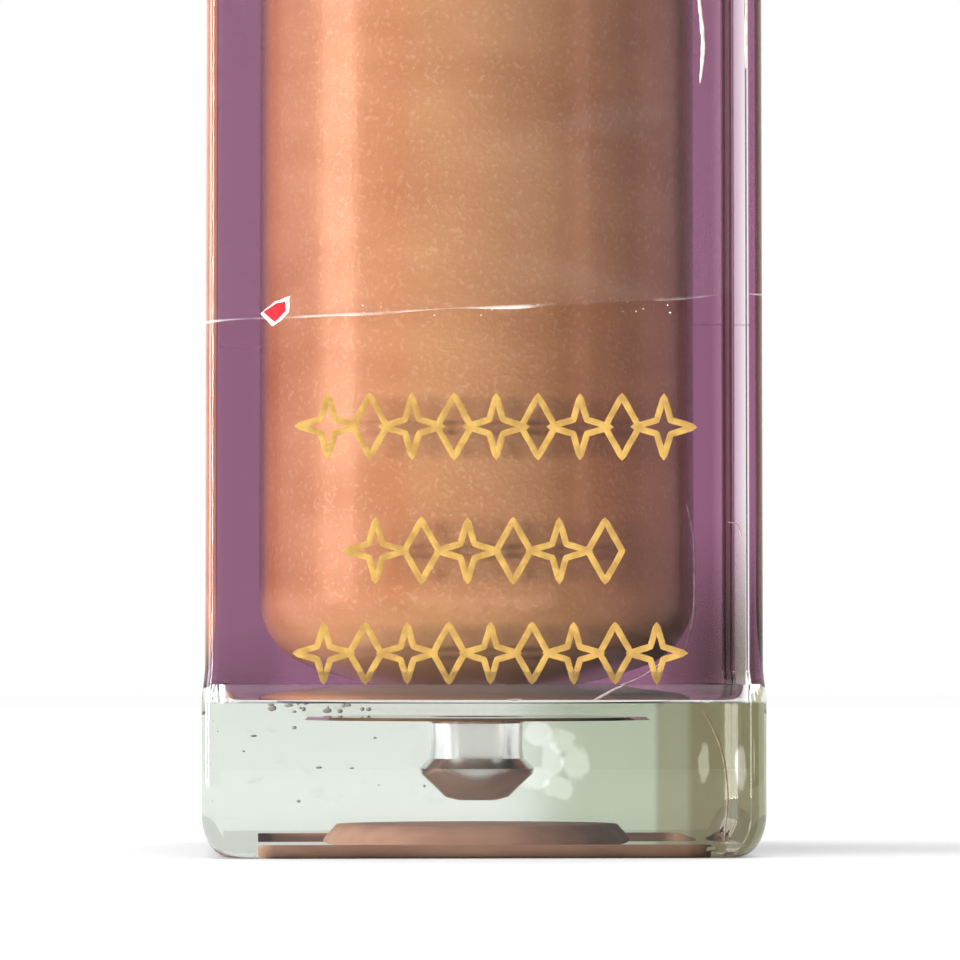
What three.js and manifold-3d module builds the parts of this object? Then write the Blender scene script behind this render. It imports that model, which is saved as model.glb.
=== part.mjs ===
// A square lip gloss tube: a clear jacket with a thick base, a tinted vial of gloss inside it, and a
// screw cap that carries the applicator. Millimetres, +Z up, origin at the middle of the underside.
// The front of the tube faces -Y.
import * as THREE from "three";
import { mergeVertices } from "three/addons/utils/BufferGeometryUtils.js";
import Module from "manifold-3d";

const wasm = await Module();
wasm.setup();

// ---- Driving dimensions ----

// Gaps between neighbouring pieces.
const SLIP_GAP = 0.15; // round a piece that drops or presses into another
const SEAT_GAP = 0.1; // under a piece that rests on another
const RUNNING_GAP = 0.08; // round a piece that turns inside another
const THREAD_GAP = 0.12; // from the crest of one thread to the crest of the other

// Outer jacket.
const JACKET_WIDTH = 17.8;
const JACKET_HEIGHT = 53;
const JACKET_WALL = 0.4;
const JACKET_EDGE_RADIUS = 0.65;
const BASE_THICKNESS = 4.9;
const BASE_FLARE = 0.1; // how far the base stands out past the walls on each side
const BASE_FLARE_HEIGHT = 1.0; // how much height the walls take to reach the flare
const FOOT_RADIUS = 0.55;
const RECESS_RADIUS = 4.85;
const RECESS_DEPTH = 0.9;
const RECESS_SLOPE = 0.5; // how much wider the recess is at its mouth

// Inner vial.
const VIAL_WALL = 1.2; // at its thinnest, between the round bore and a flat side
const VIAL_FLOOR = 0.75; // from the bottom of its boss up to the bore
const BOSS_DEPTH = 0.6; // of the round boss under the vial
const BOSS_RADIUS = 5.6;
const BOSS_SLOPE = 1.0; // how much wider the boss is at its root
const DOME_RADIUS = 16; // of the round bottom of the bore
const KNUCKLE_RADIUS = 2.4; // between the dome and the straight bore
const VIAL_FOOT_RADIUS = 0.5;
const GATE_RADIUS = 1.35; // of the moulding stub under the vial
const GATE_RIM_RADIUS = 1.75; // of the widest ring of that stub
const GATE_WELL_FLOOR = 0.65; // of jacket left between the stub's well and the recess

// Gloss.
const HEADSPACE = 8; // of air, from the gloss up to the top of the vial
const CHANNEL_GAP = 0.5; // between the gloss and the applicator tip

// Neck, collar and wiper.
const FLANGE_THICKNESS = 1.0;
const NECK_WALL = 1.0;
const NECK_HEIGHT = 8.4; // above the flange
const PLUG_LENGTH = 4.5; // of the skirt that presses into the vial
const PLUG_WALL = 1.0;
const COLLAR_HEIGHT = 1.9;
const THREAD_PITCH = 2.4;
const THREAD_TURNS = 1.5;
const THREAD_DEPTH = 0.55;
const THREAD_WIDTH = 1.1;
const THREAD_CREST = 0.4; // width of the flat top of the thread
const WIPER_WALL = 0.6;
const WIPER_FLANGE = 0.6;
const WIPER_TUBE_LENGTH = 8.0;
const WIPER_CONE_LENGTH = 3.2;
const WIPER_TIP_GAP = 0.15; // between the wiper's lip and the widest part of the tip
const WASHER_THICKNESS = 0.8;

// Cap.
const CAP_HEIGHT = 49;
const CAP_WALL = 1.1;
const CAP_TOP = 1.6;
const CAP_EDGE_RADIUS = 0.65;
const CAP_TOP_RADIUS = 0.6;
const CAP_PARTING = 0.3; // between the collar and the cap when it is screwed down
const SKIRT_WALL = 0.75; // of the inner cap's threaded skirt, outside its thread
const INNER_CAP_ROOF = 1.4;
const SOCKET_WALL = 1.5; // of the post that holds the stem
const SOCKET_HEIGHT = 9;
const FIN_THICKNESS = 0.9;
const FIN_HEIGHT = 18;
const WEIGHT_HEIGHT = 8; // of the steel ring that gives the cap its heft

// Applicator.
const STEM_RADIUS = 1.7;
const SOCKET_FLOOR = 1; // of the post, above the end of the stem
const TIP_LENGTH = 12;
const TIP_CLEARANCE = 6.7; // from the tip down to the lowest point of the bore
const TIP_WIDTH = 3.9;
const TIP_THICKNESS = 3.3;
const TIP_PEG_RADIUS = 0.8;
const TIP_PEG_LENGTH = 4;
const TIP_SLANT = 17; // degrees that the flat of the tip leans from the stem's axis

// Labels.
const LABEL_THICKNESS = 0.12;
const LABEL_MARGIN = 0.35; // between the base label and the edge of its recess
const FILM_THICKNESS = 0.08;
const FILM_GAP = 0.06;
const FILM_BOTTOM = 17.0;
const FILM_TOP_MARGIN = 3; // from the film's upper edge to the top of the jacket

// Smoothness.
const ROUND_STEPS = 48;
const CORNER_STEPS = 5;

// ---- Heights and sizes that follow from them ----

const CAVITY_HALF = JACKET_WIDTH / 2 - JACKET_WALL;
const CAVITY_EDGE_RADIUS = Math.max(0.2, JACKET_EDGE_RADIUS - JACKET_WALL / 2);
const VIAL_HALF = CAVITY_HALF - SLIP_GAP;
const VIAL_EDGE_RADIUS = Math.max(0.1, CAVITY_EDGE_RADIUS - SLIP_GAP);
const VIAL_BOTTOM = BASE_THICKNESS + SEAT_GAP;
const BOSS_BOTTOM = VIAL_BOTTOM - BOSS_DEPTH;
const GATE_LENGTH = BOSS_BOTTOM - RECESS_DEPTH - GATE_WELL_FLOOR - SLIP_GAP;
const BORE_RADIUS = VIAL_HALF - VIAL_WALL;
const BORE_BOTTOM = BOSS_BOTTOM + VIAL_FLOOR;
const VIAL_TOP = JACKET_HEIGHT;
const GLOSS_TOP = VIAL_TOP - HEADSPACE;
const FLANGE_BOTTOM = VIAL_TOP + SEAT_GAP;
const FLANGE_TOP = FLANGE_BOTTOM + FLANGE_THICKNESS;
const NECK_TOP = FLANGE_TOP + NECK_HEIGHT;
const COLLAR_TOP = FLANGE_BOTTOM + COLLAR_HEIGHT;
const WIPER_TOP = NECK_TOP + SEAT_GAP + WIPER_FLANGE;
const WASHER_TOP = WIPER_TOP + SEAT_GAP + WASHER_THICKNESS;
const CAP_BOTTOM = COLLAR_TOP + CAP_PARTING;
const CAP_INNER_HALF = JACKET_WIDTH / 2 - CAP_WALL;
const SKIRT_RADIUS = CAP_INNER_HALF - SLIP_GAP;
const SKIRT_BORE_RADIUS = SKIRT_RADIUS - SKIRT_WALL;
const THREAD_RADIUS = SKIRT_BORE_RADIUS - THREAD_DEPTH - THREAD_GAP; // of the neck's crest
const NECK_RADIUS = THREAD_RADIUS - THREAD_DEPTH;
const NECK_BORE_RADIUS = NECK_RADIUS - NECK_WALL;
const ROOF_BOTTOM = WASHER_TOP + SEAT_GAP;
const ROOF_TOP = ROOF_BOTTOM + INNER_CAP_ROOF;
const SOCKET_RADIUS = STEM_RADIUS + RUNNING_GAP + SOCKET_WALL;
const STEM_TOP = ROOF_TOP + SOCKET_HEIGHT - SOCKET_FLOOR;
const TIP_BOTTOM = BORE_BOTTOM + TIP_CLEARANCE;
const STEM_BOTTOM = TIP_BOTTOM + TIP_LENGTH + SEAT_GAP;
const FIN_TOP = ROOF_TOP + FIN_HEIGHT;
const LIP_RADIUS = Math.max(TIP_WIDTH / 2, STEM_RADIUS) + WIPER_TIP_GAP;

// ---- Shapes ----

// A BufferGeometry from a flat list of coordinates and a list of triangles.
function geometryFrom(positions, triangles) {
  const geometry = new THREE.BufferGeometry();
  geometry.setAttribute("position", new THREE.Float32BufferAttribute(positions, 3));
  geometry.setIndex(triangles);
  return geometry;
}

// A manifold-3d solid from a closed three.js geometry.
function solid(geometry) {
  const bare = geometry.clone();
  bare.deleteAttribute("normal");
  bare.deleteAttribute("uv");
  const merged = mergeVertices(bare, 1e-4);
  const index = merged.index.array;
  const triangles = [];
  for (let i = 0; i < index.length; i += 3) {
    const [a, b, c] = [index[i], index[i + 1], index[i + 2]];
    if (a !== b && b !== c && c !== a) triangles.push(a, b, c);
  }
  return new wasm.Manifold(
    new wasm.Mesh({
      numProp: 3,
      vertProperties: merged.attributes.position.array,
      triVerts: new Uint32Array(triangles),
    }),
  );
}

// The three.js geometry of a manifold-3d solid.
function geometryOf(shape) {
  const mesh = shape.getMesh();
  return geometryFrom(Array.from(mesh.vertProperties), Array.from(mesh.triVerts));
}

// The corner points of a square with round corners, counter-clockwise from above.
function squareRing({ half, radius, z }) {
  const ring = [];
  for (let corner = 0; corner < 4; corner++) {
    const start = (corner * Math.PI) / 2;
    const reach = (half - radius) * Math.SQRT2;
    const cx = reach * Math.cos(start + Math.PI / 4);
    const cy = reach * Math.sin(start + Math.PI / 4);
    for (let s = 0; s <= CORNER_STEPS; s++) {
      const a = start + ((s / CORNER_STEPS) * Math.PI) / 2;
      ring.push([cx + radius * Math.cos(a), cy + radius * Math.sin(a), z]);
    }
  }
  return ring;
}

// A closed solid skinned over square sections, listed from the bottom up.
function squareLoft(sections) {
  const rings = sections.map(squareRing);
  const count = rings[0].length;
  const last = rings.length - 1;
  const positions = rings.flat(2);
  const triangles = [];
  const bottomCentre = rings.length * count;
  positions.push(0, 0, sections[0].z, 0, 0, sections[last].z);
  for (let i = 0; i < count; i++) {
    const next = (i + 1) % count;
    for (let k = 0; k < last; k++) {
      const [low, high] = [k * count, (k + 1) * count];
      triangles.push(low + i, low + next, high + next, low + i, high + next, high + i);
    }
    triangles.push(bottomCentre, next, i);
    triangles.push(bottomCentre + 1, last * count + i, last * count + next);
  }
  return solid(geometryFrom(positions, triangles));
}

// A straight square bar with round edges.
function squareBar(half, radius, bottom, top) {
  return squareLoft([
    { half, radius, z: bottom },
    { half, radius, z: top },
  ]);
}

// A solid turned about the Z axis from [radius, height] points. A profile that starts and ends on the
// axis runs from the bottom up, and a closed ring's profile runs counter-clockwise.
function turned(profile) {
  const points = profile.map(([r, z]) => new THREE.Vector2(r, z));
  const geometry = new THREE.LatheGeometry(points, ROUND_STEPS);
  geometry.rotateX(Math.PI / 2);
  return solid(geometry);
}

// A plain disc or rod about the Z axis.
function rod(radius, bottom, top) {
  return turned([[0, bottom], [radius, bottom], [radius, top], [0, top]]);
}

// A plain ring or tube about the Z axis.
function tube(inner, outer, bottom, top) {
  return turned([[inner, bottom], [outer, bottom], [outer, top], [inner, top], [inner, bottom]]);
}

// Points of a circular arc, as [radius, height], from one angle to another in degrees.
function arc(cx, cz, radius, from, to, steps) {
  return Array.from({ length: steps + 1 }, (_, i) => {
    const a = THREE.MathUtils.degToRad(from + ((to - from) * i) / steps);
    return [cx + radius * Math.cos(a), cz + radius * Math.sin(a)];
  });
}

// A helical ridge that runs out to nothing at both ends. foot and crest are radii: a crest inside the
// foot makes the thread of a nut. turn is the angle at which the ridge starts, in turns.
function helicalRidge({ foot, crest, start, turns, turn = 0 }) {
  const steps = Math.round(ROUND_STEPS * turns);
  const fade = Math.round(ROUND_STEPS / 6);
  const sink = Math.sign(foot - crest) * 0.2;
  const positions = [];
  const triangles = [];
  for (let i = 0; i <= steps; i++) {
    const a = 2 * Math.PI * ((i / steps) * turns + turn);
    const z = start + (i / steps) * turns * THREAD_PITCH;
    const share = Math.max(0.04, Math.min(1, i / fade, (steps - i) / fade));
    const top = foot + (crest - foot) * share;
    const corners = [
      [foot + sink, z - THREAD_WIDTH / 2],
      [top, z - THREAD_CREST / 2],
      [top, z + THREAD_CREST / 2],
      [foot + sink, z + THREAD_WIDTH / 2],
    ];
    for (const [r, h] of corners) positions.push(r * Math.cos(a), r * Math.sin(a), h);
  }
  for (let i = 0; i < steps; i++)
    for (let k = 0; k < 4; k++) {
      const [a, b] = [4 * i + k, 4 * i + ((k + 1) % 4)];
      triangles.push(a, a + 4, b + 4, a, b + 4, b);
    }
  const end = 4 * steps;
  triangles.push(0, 1, 2, 0, 2, 3, end, end + 2, end + 1, end, end + 3, end + 2);
  if (crest < foot) triangles.reverse();
  return solid(geometryFrom(positions, triangles));
}

// ---- Bottle ----

// The bottom edge of the jacket, rounded over, and its slightly flared base.
function jacketOutline() {
  const half = JACKET_WIDTH / 2;
  const baseHalf = half + BASE_FLARE;
  const rounded = arc(baseHalf - FOOT_RADIUS, FOOT_RADIUS, FOOT_RADIUS, -90, 0, 5);
  const section = (reach, z) => ({ half: reach, radius: JACKET_EDGE_RADIUS, z });
  return [
    ...rounded.map(([reach, z]) => section(reach, z)),
    section(baseHalf, BASE_THICKNESS),
    section(half, BASE_THICKNESS + BASE_FLARE_HEIGHT),
    section(half, JACKET_HEIGHT),
  ];
}

// The stub left where the vial was moulded, grown by a gap to give the well that it hangs in.
function gateStub(gap, top) {
  const at = (share) => BOSS_BOTTOM - GATE_LENGTH * share;
  return turned([
    [0, at(1) - gap],
    [GATE_RADIUS * 0.7 + gap, at(1) - gap],
    [GATE_RADIUS + gap, at(0.78)],
    [GATE_RIM_RADIUS + gap, at(0.62)],
    [GATE_RADIUS + gap, at(0.42)],
    [GATE_RADIUS + gap, top],
    [0, top],
  ]);
}

// The round boss under the vial, grown by a gap at its side and under it to give its pocket.
function vialBoss(sideGap, lowerGap, top) {
  const radius = BOSS_RADIUS + sideGap;
  return turned([
    [0, BOSS_BOTTOM - lowerGap],
    [radius, BOSS_BOTTOM - lowerGap],
    [radius + BOSS_SLOPE, VIAL_BOTTOM - lowerGap],
    [radius + BOSS_SLOPE, top],
    [0, top],
  ]);
}

function outerJacket() {
  const cavity = squareBar(CAVITY_HALF, CAVITY_EDGE_RADIUS, BASE_THICKNESS, JACKET_HEIGHT + 1);
  const recess = turned([
    [0, -1],
    [RECESS_RADIUS + RECESS_SLOPE, -1],
    [RECESS_RADIUS + RECESS_SLOPE, 0],
    [RECESS_RADIUS, RECESS_DEPTH * 0.75],
    [RECESS_RADIUS - RECESS_SLOPE / 2, RECESS_DEPTH],
    [0, RECESS_DEPTH],
  ]);
  return squareLoft(jacketOutline())
    .subtract(cavity)
    .subtract(vialBoss(SLIP_GAP, SEAT_GAP, BASE_THICKNESS + 1))
    .subtract(gateStub(SLIP_GAP, BASE_THICKNESS + 1))
    .subtract(recess);
}

// The round bottom of the bore, from the axis out to the straight wall: a shallow dome, then a knuckle.
function boreBottom(radius, bottom) {
  const knuckle = Math.min(KNUCKLE_RADIUS, radius / 2);
  const lean = Math.asin((radius - knuckle) / (DOME_RADIUS - knuckle));
  const degrees = THREE.MathUtils.radToDeg(lean);
  const knuckleHeight = bottom + DOME_RADIUS - (DOME_RADIUS - knuckle) * Math.cos(lean);
  const dome = arc(0, bottom + DOME_RADIUS, DOME_RADIUS, -90, degrees - 90, 5);
  const bend = arc(radius - knuckle, knuckleHeight, knuckle, degrees - 90, 0, 6);
  dome[0][0] = 0;
  return [...dome, ...bend.slice(1)];
}

function innerVial() {
  const foot = VIAL_FOOT_RADIUS;
  const body = squareLoft([
    { half: VIAL_HALF - foot, radius: VIAL_EDGE_RADIUS, z: VIAL_BOTTOM },
    { half: VIAL_HALF, radius: VIAL_EDGE_RADIUS, z: VIAL_BOTTOM + foot },
    { half: VIAL_HALF, radius: VIAL_EDGE_RADIUS, z: VIAL_TOP },
  ]);
  const bore = turned([
    ...boreBottom(BORE_RADIUS, BORE_BOTTOM),
    [BORE_RADIUS, VIAL_TOP + 1],
    [0, VIAL_TOP + 1],
  ]);
  return body
    .add(vialBoss(0, 0, VIAL_BOTTOM + foot))
    .add(gateStub(0, BOSS_BOTTOM + VIAL_FLOOR / 2))
    .subtract(bore);
}

// The gloss keeps an open channel where the applicator hangs and is drawn out.
function glossFill() {
  const radius = BORE_RADIUS - SLIP_GAP;
  const channelRadius = Math.max(TIP_WIDTH / 2, STEM_RADIUS) + CHANNEL_GAP;
  const outline = [...boreBottom(radius, BORE_BOTTOM + SLIP_GAP), [radius, GLOSS_TOP], [0, GLOSS_TOP]];
  return turned(outline).subtract(rod(channelRadius, TIP_BOTTOM - CHANNEL_GAP, GLOSS_TOP + 1));
}

function threadedNeck() {
  const plugRadius = BORE_RADIUS - SLIP_GAP;
  const plugBottom = FLANGE_BOTTOM - PLUG_LENGTH;
  const flange = squareBar(VIAL_HALF, VIAL_EDGE_RADIUS, FLANGE_BOTTOM, FLANGE_TOP);
  const thread = helicalRidge({
    foot: NECK_RADIUS,
    crest: THREAD_RADIUS,
    start: COLLAR_TOP + THREAD_PITCH / 2 + THREAD_WIDTH / 2,
    turns: THREAD_TURNS,
  });
  const bore = turned([
    [0, plugBottom - 1],
    [plugRadius - PLUG_WALL, plugBottom - 1],
    [plugRadius - PLUG_WALL, FLANGE_BOTTOM - 2],
    [NECK_BORE_RADIUS, FLANGE_BOTTOM - 1],
    [NECK_BORE_RADIUS, NECK_TOP + 1],
    [0, NECK_TOP + 1],
  ]);
  return flange
    .add(rod(plugRadius, plugBottom, FLANGE_TOP))
    .add(rod(NECK_RADIUS, FLANGE_BOTTOM, NECK_TOP))
    .add(thread)
    .subtract(bore);
}

// The metal collar is a square cup over the neck's flange, resting on the jacket's rim.
function collar() {
  const pocketTop = FLANGE_TOP + SEAT_GAP;
  return squareBar(JACKET_WIDTH / 2, JACKET_EDGE_RADIUS, FLANGE_BOTTOM, COLLAR_TOP)
    .subtract(squareBar(VIAL_HALF + SLIP_GAP, CAVITY_EDGE_RADIUS, FLANGE_BOTTOM - 1, pocketTop))
    .subtract(rod(THREAD_RADIUS + SLIP_GAP, FLANGE_BOTTOM, COLLAR_TOP + 1));
}

function wiper() {
  const outer = NECK_BORE_RADIUS - SLIP_GAP;
  const inner = outer - WIPER_WALL;
  const flangeBottom = NECK_TOP + SEAT_GAP;
  const tubeBottom = flangeBottom - WIPER_TUBE_LENGTH;
  const lipBottom = tubeBottom - WIPER_CONE_LENGTH;
  return turned([
    [LIP_RADIUS, lipBottom],
    [LIP_RADIUS + WIPER_WALL / 2, lipBottom],
    [outer, tubeBottom],
    [outer, flangeBottom],
    [NECK_RADIUS, flangeBottom],
    [NECK_RADIUS, WIPER_TOP],
    [inner, WIPER_TOP],
    [inner, tubeBottom],
    [LIP_RADIUS, lipBottom + WIPER_WALL],
    [LIP_RADIUS, lipBottom],
  ]);
}

function baseLabel() {
  const top = RECESS_DEPTH - SEAT_GAP / 2;
  return rod(RECESS_RADIUS - RECESS_SLOPE / 2 - LABEL_MARGIN, top - LABEL_THICKNESS, top);
}

// A clear film wrapped round the jacket, from above the print up to near its rim.
function clearFilm() {
  const inner = JACKET_WIDTH / 2 + FILM_GAP;
  const top = JACKET_HEIGHT - FILM_TOP_MARGIN;
  const outer = inner + FILM_THICKNESS;
  return squareBar(outer, JACKET_EDGE_RADIUS + outer - inner, FILM_BOTTOM, top).subtract(
    squareBar(inner, JACKET_EDGE_RADIUS, FILM_BOTTOM - 1, top + 1),
  );
}

// ---- Cap and applicator ----

function sealWasher() {
  return tube(STEM_RADIUS + CHANNEL_GAP, NECK_RADIUS, WIPER_TOP + SEAT_GAP, WASHER_TOP);
}

function capShell() {
  const half = JACKET_WIDTH / 2;
  const top = CAP_BOTTOM + CAP_HEIGHT;
  const crown = arc(half - CAP_TOP_RADIUS, top - CAP_TOP_RADIUS, CAP_TOP_RADIUS, 0, 90, 4);
  const section = (reach, z) => ({ half: reach, radius: CAP_EDGE_RADIUS, z });
  const outside = squareLoft([section(half, CAP_BOTTOM), ...crown.map(([r, z]) => section(r, z))]);
  const inside = squareBar(
    CAP_INNER_HALF,
    Math.max(0.2, CAP_EDGE_RADIUS - CAP_WALL / 2),
    CAP_BOTTOM - 1,
    top - CAP_TOP,
  );
  return outside.subtract(inside);
}

// The inner cap has a threaded skirt, a roof, a post that holds the stem, and four fins that centre it
// in the shell.
function innerCap() {
  const skirtBottom = CAP_BOTTOM + SEAT_GAP;
  const socketTop = ROOF_TOP + SOCKET_HEIGHT;
  const thread = helicalRidge({
    foot: SKIRT_BORE_RADIUS,
    crest: THREAD_RADIUS + THREAD_GAP,
    start: COLLAR_TOP + THREAD_PITCH + THREAD_WIDTH / 2,
    turns: THREAD_TURNS,
  });
  const skirt = rod(SKIRT_RADIUS, skirtBottom, ROOF_TOP)
    .subtract(rod(SKIRT_BORE_RADIUS, skirtBottom - 1, ROOF_BOTTOM))
    .add(thread);
  const span = 2 * (CAP_INNER_HALF - SLIP_GAP);
  const fin = new THREE.BoxGeometry(span, FIN_THICKNESS, FIN_HEIGHT + 0.2);
  fin.translate(0, 0, FIN_TOP - FIN_HEIGHT / 2 - 0.1);
  const crossed = fin.clone().rotateZ(Math.PI / 2);
  return skirt
    .add(rod(SOCKET_RADIUS, ROOF_BOTTOM, socketTop))
    .add(solid(fin))
    .add(solid(crossed))
    .subtract(rod(STEM_RADIUS + RUNNING_GAP, ROOF_BOTTOM - 1, STEM_TOP + SEAT_GAP));
}

// The weight lies loose on the fins, so it rises with the cap and need not turn with it.
function capWeight() {
  const bottom = FIN_TOP + SEAT_GAP;
  return tube(SOCKET_RADIUS, CAP_INNER_HALF - SLIP_GAP, bottom, bottom + WEIGHT_HEIGHT);
}

function stem() {
  const pegHole = rod(
    TIP_PEG_RADIUS + RUNNING_GAP,
    STEM_BOTTOM - 1,
    STEM_BOTTOM + TIP_PEG_LENGTH + SEAT_GAP,
  );
  return rod(STEM_RADIUS, STEM_BOTTOM, STEM_TOP).subtract(pegHole);
}

// The tip is a flattened bullet with one slanted flat, on a peg that presses into the stem.
function applicatorTip() {
  const top = STEM_BOTTOM - SEAT_GAP;
  const belly = TIP_WIDTH / 2;
  const nose = arc(0, TIP_BOTTOM + belly, belly, -90, 0, 6);
  nose[0][0] = 0;
  const shoulder = [[STEM_RADIUS * 0.95, top - TIP_LENGTH * 0.25], [STEM_RADIUS * 0.9, top], [0, top]];
  const bullet = turned([...nose, [belly, TIP_BOTTOM + TIP_LENGTH * 0.45], ...shoulder]);
  const depth = TIP_THICKNESS / TIP_WIDTH;
  const cutter = new THREE.BoxGeometry(3 * TIP_WIDTH, 2 * TIP_THICKNESS, 2 * TIP_LENGTH);
  cutter.translate(0, -TIP_THICKNESS, 0);
  cutter.rotateX(THREE.MathUtils.degToRad(TIP_SLANT));
  cutter.translate(0, -TIP_THICKNESS * 0.3, TIP_BOTTOM + TIP_LENGTH * 0.25);
  const peg = rod(TIP_PEG_RADIUS, top - 1, top + TIP_PEG_LENGTH);
  return bullet.scale([1, depth, 1]).subtract(solid(cutter)).add(peg);
}

// ---- Assembly ----

// A plain material. opacity below 1 makes it see-through.
function finish(color, roughness, metalness = 0, opacity = 1) {
  return new THREE.MeshStandardMaterial({
    color,
    roughness,
    metalness,
    opacity,
    transparent: opacity < 1,
  });
}

function piece(name, shape, material) {
  const mesh = new THREE.Mesh(geometryOf(shape), material);
  mesh.name = name;
  return mesh;
}

const clear = finish(0xe6ede4, 0.05, 0, 0.3);
const film = finish(0xffffff, 0.15, 0, 0.2);
const mauve = finish(0x966e84, 0.1, 0, 0.6);
const pearlGold = finish(0xc68c5c, 0.35, 0.4);
const gold = finish(0xc99a45, 0.25, 1);
const frosted = finish(0xe8e2df, 0.4);
const seal = finish(0xf2efe8, 0.6);
const capPlastic = finish(0xcc9966, 0.3, 1);
const steel = finish(0xb9bcc0, 0.3, 1);
const flock = finish(0xf0e6da, 0.9);
const copperPaper = finish(0xa88068, 0.7);

const bottle = new THREE.Group();
bottle.add(
  piece("outer_jacket", outerJacket(), clear),
  piece("inner_vial", innerVial(), mauve),
  piece("gloss_fill", glossFill(), pearlGold),
  piece("threaded_neck", threadedNeck(), frosted),
  piece("collar", collar(), gold),
  piece("wiper", wiper(), seal),
  piece("base_label", baseLabel(), copperPaper),
  piece("clear_film", clearFilm(), film),
);

const closure = new THREE.Group();
closure.add(
  piece("seal_washer", sealWasher(), seal),
  piece("cap_shell", capShell(), capPlastic),
  piece("inner_cap", innerCap(), frosted),
  piece("cap_weight", capWeight(), steel),
  piece("stem", stem(), frosted),
  piece("applicator_tip", applicatorTip(), flock),
);

const tubeOfGloss = new THREE.Group();
tubeOfGloss.add(bottle, closure);

export default tubeOfGloss;
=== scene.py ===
"""A square lip gloss tube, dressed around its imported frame.

The frame gives every size and place. Each class below builds one sub-assembly's fine meshes in metres,
gives them their finishes, and sets them on the frame's bodies.
"""

import logging
import math
from collections.abc import Sequence
from dataclasses import dataclass
from enum import Enum

import bmesh
import bpy
from mathutils import Matrix, Vector, noise


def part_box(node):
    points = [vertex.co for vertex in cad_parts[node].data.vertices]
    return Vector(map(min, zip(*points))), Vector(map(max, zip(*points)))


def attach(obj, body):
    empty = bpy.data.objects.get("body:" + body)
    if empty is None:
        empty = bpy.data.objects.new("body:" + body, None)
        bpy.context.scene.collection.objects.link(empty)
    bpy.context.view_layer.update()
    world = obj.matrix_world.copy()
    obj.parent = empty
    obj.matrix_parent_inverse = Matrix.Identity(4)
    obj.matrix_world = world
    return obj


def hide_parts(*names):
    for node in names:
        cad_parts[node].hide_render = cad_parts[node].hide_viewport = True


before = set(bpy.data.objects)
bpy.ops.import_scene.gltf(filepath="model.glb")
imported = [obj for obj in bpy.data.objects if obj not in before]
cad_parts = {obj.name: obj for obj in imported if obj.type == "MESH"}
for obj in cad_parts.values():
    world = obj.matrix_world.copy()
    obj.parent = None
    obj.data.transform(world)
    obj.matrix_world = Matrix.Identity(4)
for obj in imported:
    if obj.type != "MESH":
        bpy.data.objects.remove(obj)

MM = 0.001
RING_POINTS = 160  # of a fine ring round the tube
EDGE_RADIUS = 0.65 * MM  # of the upright edges of the jacket, the film, the collar and the cap
LOG = logging.getLogger("lip_gloss_tube")
Colour = tuple[float, float, float]
Triple = tuple[float, float, float]
Profile = list[tuple[float, float]]
Ring = list[Vector]


class Body(Enum):
    """The rigid bodies of the frame that pieces ride on."""

    BOTTLE = "bottle"
    WASHER = "washer"
    WEIGHT = "weight"
    CAP = "cap"


# ---------------------------------------------------------------- shader tools


class Wire:
    """A shader socket that takes part in Python arithmetic."""

    def __init__(self, book: "ShaderBook", socket: bpy.types.NodeSocket) -> None:
        """Wraps one output socket.

        Args:
            book: The shader book that new nodes are added to.
            socket: The output socket.
        """
        self.book = book
        self.socket = socket

    def _math(self, operation: str, *values: "Wire | float") -> "Wire":
        """Adds a Math node.

        Args:
            operation: The node's operation.
            values: Its inputs, in order.

        Returns:
            The node's output.
        """
        node = self.book.node("ShaderNodeMath", {"operation": operation}, dict(enumerate(values)))
        return Wire(self.book, node.outputs[0])

    def __add__(self, other: "Wire | float") -> "Wire":
        """The sum of this and other."""
        return self._math("ADD", self, other)

    def __radd__(self, other: float) -> "Wire":
        """The sum of other and this."""
        return self._math("ADD", other, self)

    def __sub__(self, other: "Wire | float") -> "Wire":
        """This less other."""
        return self._math("SUBTRACT", self, other)

    def __rsub__(self, other: float) -> "Wire":
        """Other less this."""
        return self._math("SUBTRACT", other, self)

    def __mul__(self, other: "Wire | float") -> "Wire":
        """The product of this and other."""
        return self._math("MULTIPLY", self, other)

    def __rmul__(self, other: float) -> "Wire":
        """The product of other and this."""
        return self._math("MULTIPLY", other, self)

    def size(self) -> "Wire":
        """This without its sign."""
        return self._math("ABSOLUTE", self)

    def ramp(self, low: float, high: float) -> "Wire":
        """A smooth step from 0 at low to 1 at high.

        Args:
            low: The value where the step starts; it may be above high.
            high: The value where the step ends.

        Returns:
            The step, between 0 and 1.
        """
        settings = {"interpolation_type": "SMOOTHSTEP", "clamp": True}
        node = self.book.node(
            "ShaderNodeMapRange", settings, {"Value": self, "From Min": low, "From Max": high}
        )
        return Wire(self.book, node.outputs["Result"])


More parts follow.
